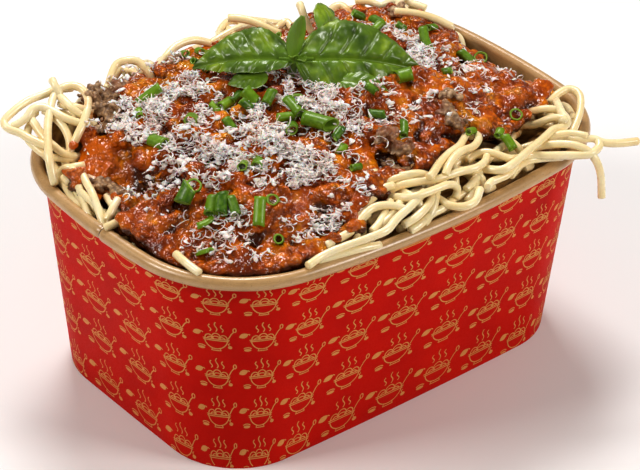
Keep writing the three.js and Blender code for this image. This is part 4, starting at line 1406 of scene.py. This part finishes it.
# ---------------------------------------------------------------- chives
CHIVES = [  # x, y, heading in degrees, length, diameter, kind (0 tube, 1 ring on its side, 2 curved strip)
    (-20.9, 28.5, 39, 3.4, 2, 0), (-26.8, 10.7, 13, 5, 3.2, 0), (-22.5, 11.3, 22, 6, 2.6, 0), (-30.5, 11.4, -85, 4.5, 2.4, 0), (-21.7, 5.3, -72, 5.5, 4.6, 0),
    (-25.9, 2, -37, 4.2, 3, 0), (-18.3, 0.3, 26, 5, 3.2, 0), (-10.1, -3.2, 45, 2.6, 4.6, 1), (-15.3, -8.2, -96, 7.5, 3.4, 0), (-19, -8.8, -20, 6, 3.4, 0),
    (-13.8, -17.7, -62, 9, 5.4, 0), (-21.8, -15.2, 46, 4.6, 3.6, 0), (-11.6, -24.7, 22, 4.6, 2.6, 0), (-14.3, -29.8, 30, 3.6, 2.6, 0), (2.2, -0.2, -4, 3.6, 3.2, 0),
    (22.8, -15.2, -28, 5.2, 5.2, 0), (8.5, -16.3, -72, 4.2, 3, 0), (4.4, -23.9, -56, 5, 3.2, 0), (5.9, -34.9, 48, 6, 2.7, 0), (-42.5, 7.6, 45, 4.8, 4, 0),
    (-33.9, -0.4, -85, 4.6, 2.8, 0), (-39.7, -21.4, 42, 4, 3.4, 0), (-43.9, -19.6, 45, 5.8, 3, 0), (-49, -8.7, -37, 1.6, 1.6, 0), (-16.5, -39, 2, 3.8, 2.4, 0),
    (45, 33.1, -20, 4, 3, 0), (46.2, 24.9, -96, 4.6, 3, 0), (51.6, 19.2, -37, 3.4, 2.8, 0), (39.9, 17.5, 8, 4, 3, 0), (50.9, 6.4, -113, 9, 3.3, 0),
    (42.4, -13.5, -56, 3.2, 2.6, 0), (62.1, 16, -4, 3, 2.4, 0), (64.7, 0.3, -79, 7, 3.2, 0), (67.1, -2.9, 45, 3, 4.2, 1), (45.1, -42.9, 39, 3, 3.8, 1),
    (35.3, -45.9, 33, 2.8, 2.8, 0), (24.9, -44.1, 22, 3.4, 2.6, 0), (35, -50.9, -91, 5, 3, 0), (-55.4, 7.1, -79, 5.6, 4.2, 0), (-64, -18.2, 16, 5.4, 4.8, 0),
    (-59.6, -16.3, 45, 1.2, 4.4, 1), (-59.9, -24.9, 41, 6, 3.4, 0), (-58, -27.3, 48, 6.6, 4, 0), (-59.2, -25, 33, 5, 2.8, 0), (-55.6, -30.3, -110, 6.4, 3, 0),
    (-64, -27.9, -4, 5.5, 2.4, 2), (-52.5, -38.3, 47, 8.6, 3.3, 0), (-47, -37.8, 39, 3, 3.4, 1), (-51.4, -46.2, 33, 2.8, 3, 1), (-70.8, -35.4, -85, 7, 2.6, 2),
    (-43.4, 27.9, -7, 8.6, 3.2, 0), (-50, 24.1, -121, 3.4, 2.2, 0),
]


def surface_at(x, y, r=1.5):
    """Height and slope of the heap near a point."""
    q = np.array([(0, 0), (r, 0), (-r, 0), (0, r), (0, -r), (r * .7, r * .7), (-r * .7, r * .7), (r * .7, -r * .7), (-r * .7, -r * .7)])
    i, j = cell(x + q[:, 0], y + q[:, 1])
    z = PILE_BARE[i, j]
    gx = (z[1] - z[2]) / (2 * r)
    gy = (z[3] - z[4]) / (2 * r)
    return z.mean(), z.max(), np.clip(gx, -0.7, 0.7), np.clip(gy, -0.7, 0.7)


def make_chives():
    g = np.random.default_rng(55)
    b = Batch()
    rows = list(CHIVES)
    for k in range(9):  # ones on the far side
        q = g.uniform(0.9, 2.1)
        rr = float(sauce_radius(q)) * g.uniform(0.3, 0.93)
        rows.append((rr * math.cos(q), rr * math.sin(q), g.uniform(0, 360), g.uniform(1.6, 5.5), g.uniform(1.8, 3.6), 0))
    for n, (x, y, yaw, L, D, kind) in enumerate(rows):
        zm, zx, gx, gy = surface_at(x, y, min(2.5, max(1.0, L * 0.35)))
        a = math.radians(yaw)
        d = np.array([math.cos(a), math.sin(a), 0])
        d[2] = gx * d[0] + gy * d[1] + g.normal(0, 0.06)
        if kind == 1:
            d = np.array([-0.54, -0.64, 0.54]) + g.normal(0, 0.14, 3)
        d /= np.linalg.norm(d)
        side = np.cross([0, 0, 1.0], d)
        side /= np.linalg.norm(side)
        up = np.cross(d, side)
        ro = D / 2
        wall_t = min(0.42, ro * 0.3)
        m, ns = 16, max(3, int(L / 1.1) + 2)
        span_a = TAU if kind != 2 else math.pi * 0.95
        q = np.arange(m) * TAU / m if kind != 2 else np.linspace(0, span_a, m)
        flat_z = 0.82 if kind == 0 else 0.95
        cut = g.normal(0, 0.25), g.normal(0, 0.25)
        s = np.linspace(-0.5, 0.5, ns) * L
        bend = g.normal(0, 0.012) if kind != 2 else 0.05
        V, inner = [], []
        for r, fl in ((ro, 0.0), (ro - wall_t, 1.0)):
            rr = r * (1 + 0.05 * np.sin(2 * q + n) + 0.03 * np.cos(5 * q + 2 * n))
            for si in s:
                e = abs(si) / (L / 2)
                slant = (cut[0] if si > 0 else cut[1]) * np.cos(q) * ro * e
                flare = 1 + 0.05 * e ** 4
                cpos = d * si + side * bend * si * si
                P = cpos + (d[None] * slant[:, None]) + side[None] * (np.cos(q) * rr * flare)[:, None] + up[None] * (np.sin(q) * rr * flat_z * flare)[:, None]
                V.append(P)
                inner.append(np.full(m, fl))
        V = np.concatenate(V)
        f = []
        jj = np.arange(m if kind != 2 else m - 1)
        jn = (jj + 1) % m
        for layer in (0, 1):
            for i in range(ns - 1):
                o = (layer * ns + i) * m
                quad = np.stack([o + jj, o + jn, o + m + jn, o + m + jj], 1)
                f.append(quad if layer else quad[:, ::-1])
        for i, flip in ((0, False), (ns - 1, True)):
            o, p = i * m, (ns + i) * m
            quad = np.stack([o + jj, o + jn, p + jn, p + jj], 1)
            f.append(quad[:, ::-1] if flip else quad)
        if kind == 2:
            for e in (0, m - 1):
                i = np.arange(ns - 1)
                f.append(np.stack([i * m + e, (i + 1) * m + e, (ns + i + 1) * m + e, (ns + i) * m + e], 1))
        z = zm + ro * flat_z * (0.72 if kind == 0 else 0.8)
        if kind == 2:
            z = zm + 0.2
        z = max(z, zx + ro * flat_z * 0.45)
        V = V + [x, y, z]
        tone = g.uniform(0.1, 0.9)
        b.add(V, None, np.concatenate(f), inner=np.concatenate(inner), tone=np.full(len(V), tone))
    put(b.build("chive_cuts", CHIVE), "basil")


make_chives()


# ---------------------------------------------------------------- basil
LEAVES = [  # the sprig's leaves: base, direction, across, length, width, arch, droop, cup, near half's width scale and lift (first leaf only)
    ((-1.5, 8.5, 98.6), (-0.78, 0.62, -0.04), (0.5, 0.62, 0.55), 32, 23, 2.6, 4.0, -2.0, (0.5, 0.5)),
    ((-1.5, 8.5, 98.6), (0.80, -0.60, -0.04), (0.45, 0.56, 0.54), 40, 29, 3.2, 4.5, -2.5),
    ((-2.6, 9.2, 98.3), (0.20, -0.10, 1.00), (0.75, -0.60, 0.00), 16, 4.4, 1.0, 0.5, 1.8),
    ((19.5, 21.5, 95.4), (0.75, 0.45, -0.10), (-0.2, 0.6, 0.7), 22, 15, 2.0, 3.5, -1.5),
]
EXTRA_LEAVES = [
    ((-11, 10.0, 95.6), (-0.88, 0.42, -0.06), (0.4, 0.75, 0.35), 12.5, 8.0, 0.8, 1.2, -0.6),
    ((5, -5.0, 95.4), (0.56, -0.82, -0.07), (0.7, 0.4, 0.5), 16, 9, 1.2, 1.6, -1.0),
    ((0.5, 9.5, 98.2), (0.5, 0.75, 0.45), (0.8, -0.5, 0.2), 9, 5.5, 0.8, 0.8, -0.6),
    ((-1.0, 7.2, 98.8), (-0.2, -0.75, 0.45), (0.85, -0.2, 0.1), 4.5, 3.0, 0.5, 0.4, 0.5),
    ((-2.2, 8.0, 98.9), (-0.55, -0.35, 0.7), (0.6, -0.6, 0.1), 4.0, 2.6, 0.4, 0.3, 0.5),
]


def make_leaf(batch, at, along, across, length, width, arch, droop, cup, near=(1.0, 0.0), seed=0, young=0.0):
    A = np.array(along, float)
    A /= np.linalg.norm(A)
    B = np.array(across, float)
    B -= A * B.dot(A)
    B /= np.linalg.norm(B)
    N = np.cross(A, B)
    if N[2] < 0 and abs(A[2]) < 0.9:
        N = -N
    nu = max(20, int(length * 2.6))
    nv = max(10, int(width * 2.2))
    u = np.linspace(0.0, 1.0, nu)[:, None]
    v = np.linspace(-1, 1, nv)[None]
    shape = (np.sin(math.pi * u ** 0.80) ** 0.80) * (1 - 0.10 * u)
    shape = np.where(u > 0.8, shape * (1 - 0.35 * ((u - 0.8) / 0.2) ** 1.5), shape)
    saw = 1 + 0.030 * np.abs(((u * length / 2.6) % 1.0) - 0.5) * 2 * np.sign(np.ones_like(v)) - 0.015
    half = 0.5 * width * np.maximum(shape, 0.0) * saw + 0.35
    y = v * half * np.where(v < 0, near[0], 1.0)
    x = u * length + 0 * v
    ay = np.abs(y)
    # side veins leave the midrib forward and curve to the tip
    pitch = length / 6.0
    phase = (x - 0.72 * ay + 0.018 * ay * ay) / pitch
    line = np.abs((phase - np.round(phase)))  # 0 on a vein
    vein = np.exp(-(line * pitch / 0.22) ** 2) * smooth(0.2, 1.2, ay) * smooth(1.02, 0.7, ay / np.maximum(half, 0.1))
    rib = np.exp(-(ay / (0.42 + 0.25 * (1 - u))) ** 2)
    puff = (1 - np.exp(-(line * pitch / 0.60) ** 2)) * smooth(0.1, 1.8, ay) * smooth(1.0, 0.72, ay / np.maximum(half, 0.1))
    k = width / 25.0
    pts = np.stack([x.ravel(), y.ravel(), np.zeros(x.size) + seed * 13.0], 1)
    quilt = noise3(pts, 3.0, 80 + seed).reshape(x.shape)
    crinkle = noise3(pts * [1.0, 0.7, 1.0], 1.25, 70 + seed).reshape(x.shape)
    wave = noise3(pts, 9.0, 90 + seed).reshape(x.shape)
    lift = arch * np.sin(math.pi * u) - droop * u * u + cup * (v * v) * (half / (0.5 * width))
    lift = lift + np.where(v < 0, near[1], 0.0) * ay + 0.26 * k * crinkle * puff
    lift = lift + k * (0.80 * puff - 0.8 * rib + 0.40 * quilt * smooth(0.2, 2, ay) + 0.9 * wave * (ay / (0.5 * width)) ** 1.3)
    lift = lift + 0.35 * k * np.sin(u * 19 + np.sign(v) * 1.3) * (ay / (0.5 * width)) ** 3
    P = np.array(at) + x[..., None] * A + y[..., None] * B + lift[..., None] * N
    base = P.reshape(-1, 3)
    du = np.gradient(P, axis=0)
    dv = np.gradient(P, axis=1)
    nn = np.cross(du, dv)
    nn /= np.linalg.norm(nn, axis=2, keepdims=True) + 1e-9
    if (nn.mean((0, 1)) @ N) < 0:
        nn = -nn
    t = 0.32
    lower = (P - nn * t).reshape(-1, 3)
    idx = np.arange(nu * nv).reshape(nu, nv)
    q = np.stack([idx[:-1, :-1].ravel(), idx[1:, :-1].ravel(), idx[1:, 1:].ravel(), idx[:-1, 1:].ravel()], 1)
    n0 = nu * nv
    rim = np.concatenate([idx[:, 0], idx[-1, 1:], idx[::-1, -1][1:], idx[0, ::-1][1:]])
    e = np.stack([rim[:-1], rim[:-1] + n0, rim[1:] + n0, rim[1:]], 1)
    hand = np.sign(np.dot(np.cross(A, B), N))
    if hand < 0:
        q2 = q[:, ::-1]
    else:
        q2 = q
    faces = np.concatenate([q2, q2[:, ::-1] + n0, e])
    tone = np.clip(0.55 * (1 - u) ** 2 * np.exp(-(ay / 4.5) ** 2) + 0.30 * (quilt * 0.5 + 0.5) * 0.6 + young + 0 * v, 0, 1)
    edge = smooth(0.93, 1.0, np.abs(v)) + 0 * u
    vv = np.clip(0.75 * vein + 0.9 * rib + 0.35 * edge, 0, 1)
    batch.add(np.concatenate([base, lower]), None, faces,
              vein=np.concatenate([vv.ravel(), vv.ravel() * 0.8 + 0.2]), tone=np.concatenate([tone.ravel(), tone.ravel() * 0.5 + 0.5]))


def make_basil():
    b = Batch()
    for n, leaf in enumerate(LEAVES[:3]):
        make_leaf(b, *leaf, seed=n, young=0.25 if n == 2 else 0.0)
    for n, leaf in enumerate(EXTRA_LEAVES):
        make_leaf(b, *leaf, seed=10 + n, young=0.0 if n < 2 else 0.55)
    # stem and leaf stalks
    node_p = np.array([-1.5, 8.5, 98.2])
    for path, r in (([node_p + [0, 0, 0.6], node_p + [-0.2, 0.2, -1.5], node_p + [-0.8, 0.3, -4.0], node_p + [-1.2, 0.2, -6.0]], 1.1),
                    ([node_p, node_p + [-1.8, 1.4, 0.45], node_p + [-4.0, 3.2, 0.75]], 0.6),
                    ([node_p, node_p + [2.0, -1.5, 0.5], node_p + [4.6, -3.4, 0.8]], 0.65)):
        p = spline(path, 0.5)
        m = 10
        q = np.arange(m) * TAU / m
        t = np.gradient(p, axis=0)
        t /= np.linalg.norm(t, axis=1, keepdims=True)
        n1 = np.cross(t, [0.3, 0.9, 0.2])
        n1 /= np.linalg.norm(n1, axis=1, keepdims=True)
        n2 = np.cross(t, n1)
        v = (p[:, None] + r * (np.cos(q)[None, :, None] * n1[:, None] + np.sin(q)[None, :, None] * n2[:, None])).reshape(-1, 3)
        k = len(p)
        j = np.arange(m)
        jn = (j + 1) % m
        f = np.concatenate([np.stack([i * m + j, i * m + jn, (i + 1) * m + jn, (i + 1) * m + j], 1) for i in range(k - 1)])
        b.add(v, None, f, vein=np.full(len(v), 0.5), tone=np.full(len(v), 0.9))
    put(b.build("basil_sprig_leaves", BASIL), "basil", "basil_sprig")
    b = Batch()
    make_leaf(b, *LEAVES[3], seed=7)
    put(b.build("basil_back_leaf", BASIL), "basil", "basil_leaf")


make_basil()


# ---------------------------------------------------------------- stage, light and camera
def stage():
    m, nt, b = material("studio_floor", (0.86, 0.86, 0.86), 0.6, Specular_IOR_Level=0.2)
    v = coords(nt)
    nt.links.new(ramp(nt, noise(nt, v, 3, 2), [(0.3, (0.85, 0.85, 0.85)), (0.7, (0.87, 0.87, 0.87))]), b.inputs["Base Color"])
    me = bpy.data.meshes.new("floor")
    s = 4.0
    me.from_pydata([(-s, -s, 0), (s, -s, 0), (s, s, 0), (-s, s, 0)], [], [(0, 1, 2, 3)])
    me.materials.append(m)
    floor = bpy.data.objects.new("floor", me)
    bpy.context.scene.collection.objects.link(floor)


def area(name, loc, aim, size, power, color=(1, 1, 1), size_y=None):
    d = bpy.data.lights.new(name, "AREA")
    d.energy = power
    d.color = color
    d.size = size
    if size_y:
        d.shape = "RECTANGLE"
        d.size_y = size_y
    o = bpy.data.objects.new(name, d)
    o.location = loc
    o.rotation_euler = (Vector(aim) - Vector(loc)).to_track_quat("-Z", "Y").to_euler()
    bpy.context.scene.collection.objects.link(o)
    return o


def camera():
    fwd = Vector((0.5425966, 0.63980307, -0.54428023))
    right = Vector((0.77190394, -0.63533455, 0.0226785))
    up = Vector((0.33129026, 0.43243733, 0.83859688))
    d = bpy.data.cameras.new("camera")
    d.lens = 147.44
    d.sensor_width = 36.0
    d.clip_start = 0.05
    d.clip_end = 20
    o = bpy.data.objects.new("camera", d)
    m = Matrix.Identity(4)
    for k in range(3):
        m[k][0], m[k][1], m[k][2] = right[k], up[k], -fwd[k]
    m[0][3], m[1][3], m[2][3] = -0.453634, -0.538779, 0.494686
    o.matrix_world = m
    bpy.context.scene.collection.objects.link(o)
    bpy.context.scene.camera = o


stage()
camera()
area("key_left", (-0.75, 0.25, 0.72), (0, 0, 0.06), 0.32, 5.3, (1.0, 0.965, 0.92))
area("key_right", (0.45, -0.80, 0.60), (0, 0, 0.06), 0.32, 5.8, (1.0, 0.965, 0.92))
area("top_back", (0.25, 0.45, 0.95), (0, 0, 0.07), 0.32, 7.4, (1.0, 0.975, 0.96))
world = bpy.data.worlds.new("studio")
world.use_nodes = True
world.node_tree.nodes["Background"].inputs["Color"].default_value = (1.0, 1.0, 1.0, 1)
world.node_tree.nodes["Background"].inputs["Strength"].default_value = 0.18
bpy.context.scene.world = world
vs = bpy.context.scene.view_settings
vs.view_transform = "Standard"
vs.look = "None"
vs.exposure = 0.0
vs.gamma = 0.88
